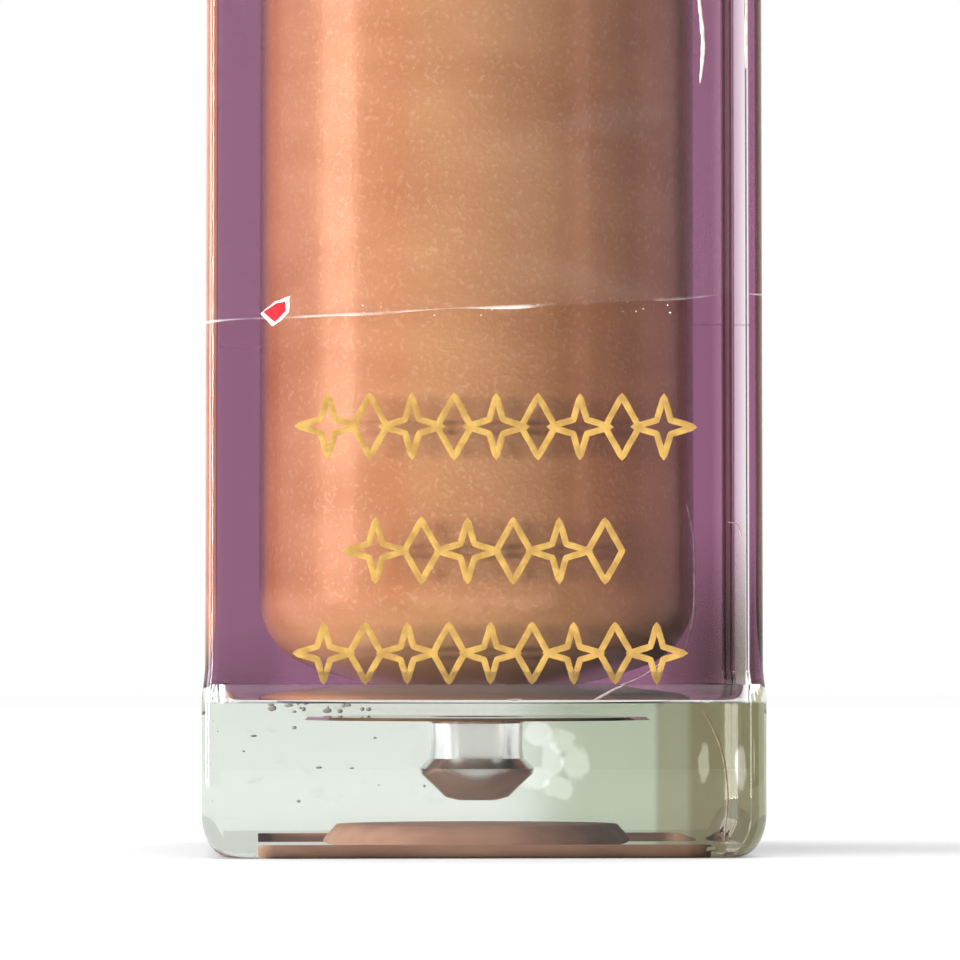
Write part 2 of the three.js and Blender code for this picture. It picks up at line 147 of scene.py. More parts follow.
class ShaderBook:
    """Writes the node tree of one material, or of the world."""

    def __init__(self, name: str, world: bool = False) -> None:
        """Starts a material with an empty tree.

        Args:
            name: The material's name.
            world: Whether it is a world instead.
        """
        self.block = (bpy.data.worlds if world else bpy.data.materials).new(name)
        self.block.use_nodes = True
        self.tree = self.block.node_tree
        self.tree.nodes.clear()
        self.output = self.tree.nodes.new("ShaderNodeOutputWorld" if world else "ShaderNodeOutputMaterial")
        self._position: bpy.types.NodeSocket | None = None

    def node(self, kind: str, settings: dict | None = None, values: dict | None = None) -> bpy.types.Node:
        """Adds a node.

        Args:
            kind: The node's type.
            settings: Its properties, set first.
            values: What its input sockets get: a Wire, an output socket or a plain value.

        Returns:
            The node.
        """
        node = self.tree.nodes.new(kind)
        for key, value in (settings or {}).items():
            setattr(node, key, value)
        for key, value in (values or {}).items():
            socket = node.inputs[key]
            if isinstance(value, Wire):
                value = value.socket
            if isinstance(value, bpy.types.NodeSocket):
                self.tree.links.new(value, socket)
            elif isinstance(value, tuple) and len(value) == 3 and socket.type == "RGBA":
                socket.default_value = (*value, 1.0)
            else:
                socket.default_value = value
        return node

    def position(self) -> bpy.types.NodeSocket:
        """The point on the piece, in the frame's metres."""
        if self._position is None:
            self._position = self.node("ShaderNodeTexCoord").outputs["Object"]
        return self._position

    def axes(self) -> tuple[Wire, Wire, Wire]:
        """The point's x, y and z, in millimetres."""
        scaled = self.node(
            "ShaderNodeVectorMath", {"operation": "SCALE"}, {0: self.position(), "Scale": 1 / MM}
        )
        parts = self.node("ShaderNodeSeparateXYZ", None, {0: scaled.outputs[0]})
        return tuple(Wire(self, output) for output in parts.outputs)

    def facing(self, low: float, high: float) -> Wire:
        """How far the surface turns away from the eye.

        Args:
            low: The share of a full turn away where the step starts.
            high: The share where it ends.

        Returns:
            A smooth step, between 0 and 1.
        """
        return Wire(self, self.node("ShaderNodeLayerWeight").outputs["Facing"]).ramp(low, high)

    def noise(
        self, size_mm: float, detail: float = 3.0, stretch: Triple = (1, 1, 1), seed: float = 0
    ) -> Wire:
        """Cloudy noise between 0 and 1.

        Args:
            size_mm: The width of its largest spots.
            detail: How many finer layers it has.
            stretch: How much longer a spot is along each axis.
            seed: Which noise of its kind.

        Returns:
            The noise.
        """
        scale = tuple(1 / s for s in stretch)
        mapping = self.node("ShaderNodeMapping", None, {"Vector": self.position(), "Scale": scale})
        settings = {"noise_dimensions": "4D"}
        values = {"Vector": mapping.outputs[0], "Scale": 1 / (size_mm * MM), "Detail": detail, "W": seed}
        return Wire(self, self.node("ShaderNodeTexNoise", settings, values).outputs["Fac"])

    def mix(self, share: Wire | float, low: object, high: object, blend: str = "MIX") -> bpy.types.NodeSocket:
        """Mixes two colours.

        Args:
            share: How much of the second colour, from 0 to 1.
            low: The first colour, or a socket.
            high: The second colour, or a socket.
            blend: The blend mode.

        Returns:
            The mixed colour's socket.
        """
        settings = {"data_type": "RGBA", "blend_type": blend, "clamp_factor": True}
        node = self.node("ShaderNodeMix", settings, {0: share, 6: low, 7: high})
        return node.outputs[2]

    def bump(self, height: Wire, depth_mm: float, strength: float = 1.0) -> bpy.types.NodeSocket:
        """A normal from a height.

        Args:
            height: The height, from 0 to 1.
            depth_mm: How deep a step from 1 to 0 is.
            strength: How much of the effect is kept.

        Returns:
            The normal's socket.
        """
        values = {"Height": height, "Distance": depth_mm * MM, "Strength": strength}
        return self.node("ShaderNodeBump", None, values).outputs[0]

    def principled(self, **values: object) -> None:
        """Adds the material's main shader, joined to its output.

        Args:
            values: Its sockets, with _ for each space in a socket's name.
        """
        named = {key.replace("_", " "): value for key, value in values.items()}
        shader = self.node("ShaderNodeBsdfPrincipled", None, named)
        self.tree.links.new(shader.outputs[0], self.output.inputs["Surface"])

    def absorb(self, colour: Colour, density: float) -> None:
        """Tints light by the depth of plastic that it crosses.

        Args:
            colour: What is let through.
            density: How strong the tint is, per metre.
        """
        volume = self.node("ShaderNodeVolumeAbsorption", None, {"Color": colour, "Density": density})
        self.tree.links.new(volume.outputs[0], self.output.inputs["Volume"])


# -------------------------------------------------------------------- finishes


@dataclass(frozen=True)
class ClearPlastic:
    """The jacket's polished clear plastic, water-clear above and faintly greenish in the thick base, where
    painted light and shade lie over that tint: pale at -X, sage towards +X with a shaded_olive strip at the
    +X end, and bright painted patches of refracted light.

    Heights are in millimetres, and each painted light patch is its x, z, half width and half height.
    """

    base_top: float = 4.95
    # pale to sage, then shaded_olive: the base's faint tint with painted light at -X, where the key lamp
    # falls, and painted shade towards +X
    pale: Colour = (0.6, 0.64, 0.585)
    sage: Colour = (0.36, 0.41, 0.31)
    shaded_olive: Colour = (0.175, 0.16, 0.085)
    # bright: the painted highlight of refracted light in each patch
    bright: Colour = (0.8, 0.85, 0.76)
    speck: Colour = (0.2, 0.2, 0.17)
    water: Colour = (0.985, 0.975, 0.98)
    stub_haze: float = 0.22
    patches: tuple[tuple[float, float, float, float], ...] = (
        (2.35, 3.75, 0.5, 0.42),
        (2.85, 3.0, 0.42, 0.7),
        (2.3, 2.25, 0.5, 0.4),
        (8.1, 2.8, 0.18, 0.7),
    )

    def build(self) -> bpy.types.Material:
        """Makes the material.

        Returns:
            The material.
        """
        book = ShaderBook("clear_plastic")
        x, y, z = book.axes()
        in_base = z.ramp(self.base_top + 0.05, self.base_top - 0.05) * y.size().ramp(8.2, 8.6)
        by_stub = (x * x + y * y).ramp(4.6, 3.6) * z.ramp(1.0, 1.3) * z.ramp(4.4, 4.2)
        # painted light and shade across the base: lighter at -X, darker towards +X
        across_from_light = x + 2.0 * book.noise(3, 1) - 1.0
        tint_specks_and_painted_light = book.mix(across_from_light.ramp(0.5, 3.5), self.pale, self.sage)
        # painted shade: the shaded_olive strip at the +X end of the base
        tint_specks_and_painted_light = book.mix(x.ramp(6.3, 6.6), tint_specks_and_painted_light, self.shaded_olive)
        specks = book.noise(0.55, 3, (1.8, 1.8, 1.0)).ramp(0.6, 0.8) * across_from_light.ramp(1.0, -5.0)
        tint_specks_and_painted_light = book.mix(specks * 0.5, tint_specks_and_painted_light, self.speck)
        # painted highlights: patches of refracted light
        for patch_x, patch_z, wide, tall in self.patches:
            across, up = (x - patch_x) * (1 / wide), (z - patch_z) * (1 / tall)
            spread = across * across + up * up + 3.0 * (book.noise(0.7, 3) - 0.5)
            tint_specks_and_painted_light = book.mix(0.85 * spread.ramp(1.2, 0.4), tint_specks_and_painted_light, self.bright)
        book.principled(
            Base_Color=book.mix(in_base, self.water, tint_specks_and_painted_light),
            Roughness=self.stub_haze * by_stub,
            IOR=1.49,
            Transmission_Weight=1.0,
            Normal=book.bump(book.noise(6, 0, (1, 1, 2.5)), 0.012),
        )
        return book.block


@dataclass(frozen=True)
class TintedPlastic:
    """The vial's mauve plastic, with painted shade: darker low down beside the gloss, and a little darker at
    the +X side, away from the key lamp.

    It is bonded to the jacket, so light goes in without bending.
    """

    lets_through: Colour = (0.44, 0.02, 0.29)
    density: float = 132.0
    # low: painted shade beside the gloss low down, its edge leaning with x
    low: Colour = (0.36, 0.38, 0.29)
    # right_shade: painted shade on the +X side
    right_shade: Colour = (0.95, 0.87, 0.92)
    lean: float = 0.22

    def build(self) -> bpy.types.Material:
        """Makes the material.

        Returns:
            The material.
        """
        book = ShaderBook("tinted_plastic")
        x, _, z = book.axes()
        beside_gloss = x.size().ramp(6.0, 7.1)
        # painted shade: darker low down beside the gloss
        deep = (z - self.lean * x + 0.6 * book.noise(2.5, 2)).ramp(10.2, 4.6)
        shaded = book.mix(beside_gloss * deep, (1.0, 1.0, 1.0), self.low)
        book.principled(
            # painted shade: right_shade darkens the +X side
            Base_Color=book.mix(x.ramp(6.9, 7.3), shaded, self.right_shade, "MULTIPLY"),
            Roughness=0.0,
            IOR=1.0,
            Transmission_Weight=1.0,
        )
        book.absorb(self.lets_through, self.density)
        return book.block


@dataclass(frozen=True)
class VialFloorPlastic:
    """The vial's untinted boss and gate stub, a little cloudy from moulding."""

    lets_through: Colour = (0.7, 0.6, 0.6)
    density: float = 12.0

    def build(self) -> bpy.types.Material:
        """Makes the material.

        Returns:
            The material.
        """
        book = ShaderBook("vial_floor_plastic")
        book.principled(
            Base_Color=book.mix(book.noise(0.8, 3), (1.0, 1.0, 1.0), (0.94, 0.92, 0.9)),
            Roughness=0.0,
            IOR=1.0,
            Transmission_Weight=1.0,
        )
        book.absorb(self.lets_through, self.density)
        return book.block


@dataclass(frozen=True)
class PearlGloss:
    """The gloss: thick copper-gold with fine mica, with painted light making it lighter at the bottom and
    painted shade making it darker where it turns away from the eye.
    """

    copper: Colour = (0.55, 0.24, 0.082)
    light: Colour = (0.68, 0.35, 0.14)
    rose: Colour = (0.46, 0.19, 0.078)
    flake: Colour = (0.95, 0.62, 0.32)
    # lowest: painted light on the bottom, which the lamps don't reach
    lowest: Colour = (0.95, 0.55, 0.24)
    # rim: painted shade where the surface turns away from the eye
    rim: Colour = (0.16, 0.06, 0.055)

    def build(self) -> bpy.types.Material:
        """Makes the material.

        Returns:
            The material.
        """
        book = ShaderBook("pearl_gloss")
        _, _, z = book.axes()
        streaks = book.noise(3.0, 4, (2.0, 2.0, 0.8))
        mica = book.noise(0.16, 2)
        colour = book.mix(streaks.ramp(0.25, 0.75), self.copper, self.light)
        colour = book.mix(0.35 * mica.ramp(0.5, 0.72), colour, self.flake)
        colour = book.mix(0.3 * book.noise(6, 2, seed=5).ramp(0.5, 0.75), colour, self.rose)
        # painted light: lighter towards the bottom
        colour = book.mix(0.8 * z.ramp(9.0, 6.0), colour, self.lowest)
        # painted shade: darker where the surface turns away
        colour = book.mix(book.facing(0.68, 0.88) * z.ramp(7.0, 9.0), colour, self.rim)
        book.principled(
            Base_Color=colour,
            Metallic=(0.25 + 0.15 * mica) * z.ramp(5.5, 9.5),
            Roughness=0.19 + 0.07 * streaks,
            Specular_IOR_Level=1.0,
            Normal=book.bump(mica, 0.018, 0.6),
        )
        return book.block


@dataclass(frozen=True)
class GoldInk:
    """The printed ornament's gold ink, uneven where it was laid thin."""

    gold: Colour = (0.62, 0.38, 0.1)
    shadow: Colour = (0.42, 0.24, 0.06)

    def build(self) -> bpy.types.Material:
        """Makes the material.

        Returns:
            The material.
        """
        book = ShaderBook("gold_ink")
        patches = book.noise(0.5, 4)
        book.principled(
            Base_Color=book.mix(patches.ramp(0.35, 0.65), self.shadow, self.gold),
            Metallic=0.25 + 0.3 * patches,
            Roughness=0.38 + 0.2 * patches,
            Normal=book.bump(book.noise(0.12, 2), 0.01),
        )
        return book.block


@dataclass(frozen=True)
class ClearFilm:
    """The thin clear wrap, with a whitish painted highlight along its cut lower edge, whose height and slant
    match the film's.
    """

    edge_height: float = 17.45
    slant: float = 0.053

    def build(self) -> bpy.types.Material:
        """Makes the material.

        Returns:
            The material.
        """
        book = ShaderBook("clear_film")
        x, _, z = book.axes()
        above_edge = z - self.slant * x - self.edge_height
        haze = 0.004 + 0.012 * book.noise(2.5, 4, (3, 3, 0.8)).ramp(0.55, 0.8)
        # lip: a whitish painted highlight where the cut edge catches light
        lip = above_edge.ramp(0.1, 0.0) * book.noise(1.2, 3, (2, 1, 1)).ramp(0.42, 0.62)
        scuffs = book.noise(0.5, 3, (3, 1, 0.6), seed=2).ramp(0.7, 0.78) * above_edge.ramp(5.0, 0.0)
        book.principled(
            Base_Color=(0.95, 0.9, 0.86),
            Roughness=0.1 + 0.15 * book.noise(3, 3),
            Alpha=haze + 0.3 * lip + 0.15 * scuffs,
            Normal=book.bump(book.noise(4, 3, (4, 4, 1)), 0.03),
        )
        return book.block


@dataclass(frozen=True)
class PlainInk:
    """A flat coloured scrap or fleck with a slight mottle."""

    name: str
    colour: Colour
    dark: Colour
    roughness: float = 0.5

    def build(self) -> bpy.types.Material:
        """Makes the material.

        Returns:
            The material.
        """
        book = ShaderBook(self.name)
        mottle = book.noise(0.3, 3)
        book.principled(
            Base_Color=book.mix(mottle.ramp(0.35, 0.7), self.dark, self.colour),
            Roughness=self.roughness + 0.1 * mottle,
            Normal=book.bump(mottle, 0.01),
        )
        return book.block


@dataclass(frozen=True)
class CopperSticker:
    """The matt copper-brown sticker that lines the underside."""

    warm: Colour = (0.5, 0.27, 0.18)
    dusk: Colour = (0.36, 0.175, 0.12)

    def build(self) -> bpy.types.Material:
        """Makes the material.

        Returns:
            The material.
        """
        book = ShaderBook("copper_sticker")
        fibres = book.noise(0.8, 5, (3, 1, 1))
        book.principled(
            Base_Color=book.mix(fibres.ramp(0.3, 0.7), self.dusk, self.warm),
            Roughness=0.62 + 0.15 * fibres,
            Metallic=0.1,
            Normal=book.bump(book.noise(0.4, 2), 0.004),
        )
        return book.block


@dataclass(frozen=True)
class PlatedGold:
    """Gold plating over plastic: polished, or satin with fine upright brushing."""

    name: str
    roughness: float
    brushed: bool = False
    gold: Colour = (0.83, 0.56, 0.3)
    warm: Colour = (0.72, 0.44, 0.22)

    def build(self) -> bpy.types.Material:
        """Makes the material.

        Returns:
            The material.
        """
        book = ShaderBook(self.name)
        hairs = book.noise(0.12, 4, (1, 1, 60)) if self.brushed else book.noise(1.5, 4)
        smudge = book.noise(9, 4, seed=4).ramp(0.5, 0.72)
        book.principled(
            Base_Color=book.mix(0.6 * hairs + 0.3 * smudge, self.gold, self.warm),
            Metallic=1.0,
            Roughness=self.roughness + 0.08 * hairs + 0.1 * smudge,
            Normal=book.bump(hairs, 0.004 if self.brushed else 0.002),
        )
        return book.block


@dataclass(frozen=True)
class FrostedPlastic:
    """Milky moulded plastic with a fine spark-eroded grain."""

    name: str = "frosted_plastic"
    milk: Colour = (0.83, 0.8, 0.77)
    shade: Colour = (0.72, 0.67, 0.64)
    roughness: float = 0.38
    grain_mm: float = 0.12

    def build(self) -> bpy.types.Material:
        """Makes the material.

        Returns:
            The material.
        """
        book = ShaderBook(self.name)
        cloud = book.noise(4, 3)
        grain = book.noise(self.grain_mm, 2)
        book.principled(
            Base_Color=book.mix(cloud.ramp(0.3, 0.75), self.milk, self.shade),
            Roughness=self.roughness + 0.12 * grain,
            Normal=book.bump(grain, 0.006),
            Subsurface_Weight=0.15,
            Subsurface_Radius=(0.002, 0.0015, 0.0012),
            Subsurface_Scale=1.0,
        )
        return book.block


@dataclass(frozen=True)
class TurnedSteel:
    """Turned steel with rings left by the tool."""

    dull: Colour = (0.5, 0.51, 0.53)
    bright: Colour = (0.66, 0.67, 0.69)

    def build(self) -> bpy.types.Material:
        """Makes the material.

        Returns:
            The material.
        """
        book = ShaderBook("turned_steel")
        rings = book.noise(0.25, 3, (40, 40, 1))
        book.principled(
            Base_Color=book.mix(rings, self.dull, self.bright),
            Metallic=1.0,
            Roughness=0.28 + 0.18 * rings,
            Normal=book.bump(rings, 0.008),
        )
        return book.block


@dataclass(frozen=True)
class Flock:
    """Short nylon flock, damp with gloss towards the tip's end."""

    dry: Colour = (0.86, 0.78, 0.7)
    wet: Colour = (0.62, 0.34, 0.19)
    wet_below: float = 17.0

    def build(self) -> bpy.types.Material:
        """Makes the material.

        Returns:
            The material.
        """
        book = ShaderBook("flock")
        _, _, z = book.axes()
        soaked = (z + 2.0 * book.noise(1.4, 3)).ramp(self.wet_below + 4, self.wet_below)
        book.principled(
            Base_Color=book.mix(soaked, self.dry, self.wet),
            Roughness=0.85 - 0.45 * soaked,
            Normal=book.bump(book.noise(0.1, 2), 0.02),
            Sheen_Weight=0.3,
        )
        return book.block


@dataclass(frozen=True)
class StudioPaper:
    """The pale studio floor."""

    shade: Colour = (0.86, 0.86, 0.86)
    pale: Colour = (0.88, 0.88, 0.88)

    def build(self) -> bpy.types.Material:
        """Makes the material.

        Returns:
            The material.
        """
        book = ShaderBook("studio_paper")
        tooth = book.noise(30, 3)
        book.principled(Base_Color=book.mix(tooth, self.shade, self.pale), Roughness=0.9)
        return book.block


# ------------------------------------------------------------------ mesh tools


def circle_ring(radius: float, z: float, count: int = RING_POINTS) -> Ring:
    """Points round a circle.

    Args:
        radius: The circle's radius.
        z: Its height.
        count: How many points it has.

    Returns:
        The points, counter-clockwise from above.
    """
    turns = [2 * math.pi * i / count for i in range(count)]
    return [Vector((radius * math.cos(a), radius * math.sin(a), z)) for a in turns]


def square_ring(half: float, radius: float, z: float, count: int = RING_POINTS) -> Ring:
    """Points round a square with round corners, which line up with circle_ring's by their order.

    Args:
        half: Half the square's width.
        radius: The corners' radius.
        z: Its height.
        count: How many points it has, a multiple of 8.

    Returns:
        The points, counter-clockwise from above, starting in the middle of the +X side.
    """
    quarter = count // 4
    bend = quarter // 2
    side = quarter - bend
    flat = half - radius
    corner = [Vector((half, flat * 2 * i / side, z)) for i in range(side // 2)]
    for i in range(bend + 1):
        a = math.pi / 2 * i / bend
        corner.append(Vector((flat + radius * math.cos(a), flat + radius * math.sin(a), z)))
    corner += [Vector((flat * (1 - 2 * i / side), half, z)) for i in range(1, side // 2)]
    turned = [Matrix.Rotation(math.pi / 2 * k, 3, "Z") for k in range(4)]
    return [turn @ point for turn in turned for point in corner]


def circle_rings(outline: Profile) -> list[Ring]:
    """Circles through an outline of (radius, height) points."""
    return [circle_ring(radius, z) for radius, z in outline]


def square_rings(outline: Profile, corner: float) -> list[Ring]:
    """Squares with round corners through an outline of (reach, height) points."""
    return [square_ring(reach, corner, z) for reach, z in outline]


def arc(centre: tuple[float, float], radius: float, start: float, end: float, steps: int) -> Profile:
    """Points along a circular arc in a (reach, height) plane.

    Args:
        centre: The arc's centre.
        radius: Its radius.
        start: Its first angle, in degrees.
        end: Its last angle, in degrees.
        steps: How many straight steps it has.

    Returns:
        The points.
    """
    angles = [math.radians(start + (end - start) * i / steps) for i in range(steps + 1)]
    return [(centre[0] + radius * math.cos(a), centre[1] + radius * math.sin(a)) for a in angles]


@dataclass
class Skin:
    """A surface skinned over rings of equally many points, each ring joined to the next."""

    name: str
    rings: list[Ring]
    looped: bool = False
    smooth_below: float = 32.0

    def mesh(self) -> "Shape":
        """Skins the rings. A skin that isn't looped is closed at its two ends by a middle point."""
        count, last = len(self.rings[0]), len(self.rings) - 1
        points = [point for ring in self.rings for point in ring]
        faces: list[tuple[int, ...]] = []
        for k in range(len(self.rings) if self.looped else last):
            low, high = k * count, ((k + 1) % len(self.rings)) * count
            for i in range(count):
                j = (i + 1) % count
                faces.append((low + i, low + j, high + j, high + i))
        if not self.looped:
            for ring, flip in ((0, True), (last, False)):
                points.append(sum(self.rings[ring], Vector()) / count)
                for i in range(count):
                    edge = (ring * count + i, ring * count + (i + 1) % count)
                    faces.append((*(reversed(edge) if flip else edge), len(points) - 1))
        return Shape(self.name, points, faces, self.smooth_below)

    def object(self, material: bpy.types.Material) -> bpy.types.Object:
        """Builds the object in one material."""
        return self.mesh().object(material)


@dataclass
class Shape:
    """Points and faces that become one object."""

    name: str
    points: list[Vector]
    faces: list[tuple[int, ...]]
    smooth_below: float

    def join(self, other: "Shape") -> None:
        """Adds another shape's faces to this one."""
        shift = len(self.points)
        self.points += other.points
        self.faces += [tuple(i + shift for i in face) for face in other.faces]

    def object(self, material: bpy.types.Material) -> bpy.types.Object:
        """Builds the object in one material, with its place in its mesh."""
        mesh = bpy.data.meshes.new(self.name)
        mesh.from_pydata(self.points, [], self.faces)
        return finish_mesh(self.name, mesh, material, self.smooth_below)


def finish_mesh(
    name: str, mesh: bpy.types.Mesh, material: bpy.types.Material, smooth_below: float
) -> bpy.types.Object:
    """Shades a mesh smooth between its sharp edges and puts it in the scene.

    Args:
        name: The object's name.
        mesh: Its mesh.
        material: Its material.
        smooth_below: The angle, in degrees, past which an edge stays sharp.

    Returns:
        The object.
    """
    mesh.shade_smooth()
    mesh.set_sharp_from_angle(angle=math.radians(smooth_below))
    mesh.materials.clear()
    mesh.materials.append(material)
    piece = bpy.data.objects.new(name, mesh)
    bpy.context.scene.collection.objects.link(piece)
    weighted = piece.modifiers.new("even_normals", "WEIGHTED_NORMAL")
    weighted.keep_sharp = True
    return piece


def smoothed_copy(node: str, name: str, material: bpy.types.Material) -> bpy.types.Object:
    """Makes a smooth-shaded copy of a frame node's mesh.

    Args:
        node: The frame node.
        name: The new piece's name.
        material: Its material.

    Returns:
        The piece.
    """
    work = bmesh.new()
    work.from_mesh(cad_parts[node].data)
    bmesh.ops.remove_doubles(work, verts=work.verts, dist=2e-6)
    bmesh.ops.dissolve_degenerate(work, edges=work.edges, dist=1e-6)
    mesh = bpy.data.meshes.new(name)
    work.to_mesh(mesh)
    work.free()
    for attribute in list(mesh.attributes):
        if attribute.name == "custom_normal":
            mesh.attributes.remove(attribute)
    return finish_mesh(name, mesh, material, 28.0)


def place(
    piece: bpy.types.Object, body: Body, replaces: Sequence[str] = (), clear: bool = False
) -> None:
    """Sets a finished piece on a body of the frame.

    Args:
        piece: The piece.
        body: The body that it moves with.
        replaces: The frame nodes that it stands for.
        clear: Whether it lets the lamps' light through to what it holds.
    """
    piece.visible_shadow = not clear
    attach(piece, body.value)
    if replaces:
        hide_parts(*replaces)
    LOG.info("%s rides on %s with %d faces", piece.name, body.value, len(piece.data.polygons))


# -------------------------------------------------------- geometry nodes tools


class NodeKit:
    """Writes one Geometry Nodes tree and turns its result into a plain mesh."""

    def __init__(self, name: str) -> None:
        """Starts a tree with a geometry output.

        Args:
            name: The tree's name.
        """
        self.tree = bpy.data.node_groups.new(name, "GeometryNodeTree")
        self.tree.interface.new_socket("Geometry", in_out="OUTPUT", socket_type="NodeSocketGeometry")
        self.entry = self.tree.nodes.new("NodeGroupInput")
        self.exit = self.tree.nodes.new("NodeGroupOutput")
        self.values: dict[str, object] = {}

    def input(self, name: str, value: object, kind: str = "Float") -> bpy.types.NodeSocket:
        """Adds a named input.

        Args:
            name: The input's name.
            value: What the modifier sets it to.
            kind: What it holds: a Float, an Int, a Vector, a Material or a Geometry.

        Returns:
            The socket inside the tree.
        """
        item = self.tree.interface.new_socket(name, in_out="INPUT", socket_type="NodeSocket" + kind)
        if kind != "Geometry":
            self.values[item.identifier] = value
        return next(s for s in self.entry.outputs if s.identifier == item.identifier)

    def node(self, kind: str, settings: dict | None = None, values: dict | None = None) -> bpy.types.Node:
        """Adds a node.

        Args:
            kind: The node's type.
            settings: Its properties, set first.
            values: What its input sockets get: an output socket or a plain value.

        Returns:
            The node.
        """
        node = self.tree.nodes.new(kind)
        for key, value in (settings or {}).items():
            setattr(node, key, value)
        for key, value in (values or {}).items():
            for one in value if isinstance(value, list) else [value]:
                if isinstance(one, bpy.types.NodeSocket):
                    self.tree.links.new(one, node.inputs[key])
                else:
                    node.inputs[key].default_value = one
        return node

    def mesh(
        self,
        name: str,
        geometry: bpy.types.NodeSocket,
        material: bpy.types.Material,
        base: bpy.types.Mesh | None = None,
    ) -> bpy.types.Mesh:
        """Realizes the geometry, gives it the material, and reads the result.

        Args:
            name: The new mesh's name.
            geometry: The tree's last geometry socket.
            material: The material.
            base: The mesh that the modifier works on, or None for an empty one.

        Returns:
            A plain mesh.
        """
        paint = self.input("Material", material, "Material")
        real = self.node("GeometryNodeRealizeInstances", None, {0: geometry})
        painted = self.node("GeometryNodeSetMaterial", None, {0: real.outputs[0], "Material": paint})
        self.tree.links.new(painted.outputs[0], self.exit.inputs[0])
        holder = bpy.data.objects.new(name + "_maker", base or bpy.data.meshes.new(name + "_base"))
        bpy.context.scene.collection.objects.link(holder)
        modifier = holder.modifiers.new(name, "NODES")
        modifier.node_group = self.tree
        for identifier, value in self.values.items():
            modifier[identifier] = value
        evaluated = holder.evaluated_get(bpy.context.evaluated_depsgraph_get())
        made = bpy.data.meshes.new_from_object(evaluated)
        made.name = name
        holder.modifiers.remove(modifier)
        bpy.data.objects.remove(holder)
        return made


# --------------------------------------------------------------------- pieces


@dataclass
class VialFoot:
    """The underside of the vial: the stub left by moulding and a round boss."""

    stub_radius: float = 1.35 * MM
    stub_rim_radius: float = 1.75 * MM
    stub_rim_share: float = 0.62
    boss_bottom: float = 4.4 * MM
    boss_radius: float = 5.6 * MM
    boss_slope: float = 1.0 * MM
    bottom: float = 5.0 * MM
    seat: float = 0.1 * MM
    gap: float = 0.15 * MM

    def profile(self) -> Profile:
        """The stub's and the boss's outline as (radius, height), from the lowest point outwards."""
        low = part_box("inner_vial")[0].z
        length = self.boss_bottom - low
        rim = self.boss_bottom - length * self.stub_rim_share
        return [
            (self.stub_radius * 0.35, low),
            (self.stub_radius * 0.66, low + 0.04 * length),
            (self.stub_radius * 0.95, low + 0.18 * length),
            (self.stub_rim_radius * 0.96, rim - 0.07 * length),
            (self.stub_rim_radius, rim),
            (self.stub_rim_radius * 0.93, rim + 0.04 * length),
            (self.stub_radius * 1.04, rim + 0.12 * length),
            (self.stub_radius, rim + 0.25 * length),
            (self.stub_radius * 1.02, self.boss_bottom - 0.08 * length),
            (self.stub_radius * 1.15, self.boss_bottom),
            (self.boss_radius, self.boss_bottom),
            (self.boss_radius + self.boss_slope, self.bottom),
        ]

    def rings(self, inset: float = 0.0) -> list[Ring]:
        """The outline turned about the axis, drawn in by an inset from the true surface."""
        return circle_rings([(r - inset, z + inset) for r, z in self.profile()])

    def pocket(self) -> list[Ring]:
        """The pocket in the base that the stub and the boss hang in, from its rim down."""
        rings = []
        for r, z in reversed(self.profile()):
            drop = self.seat if z >= self.boss_bottom else 0.0
            rings.append(circle_ring(r + self.gap, z - drop))
        return rings


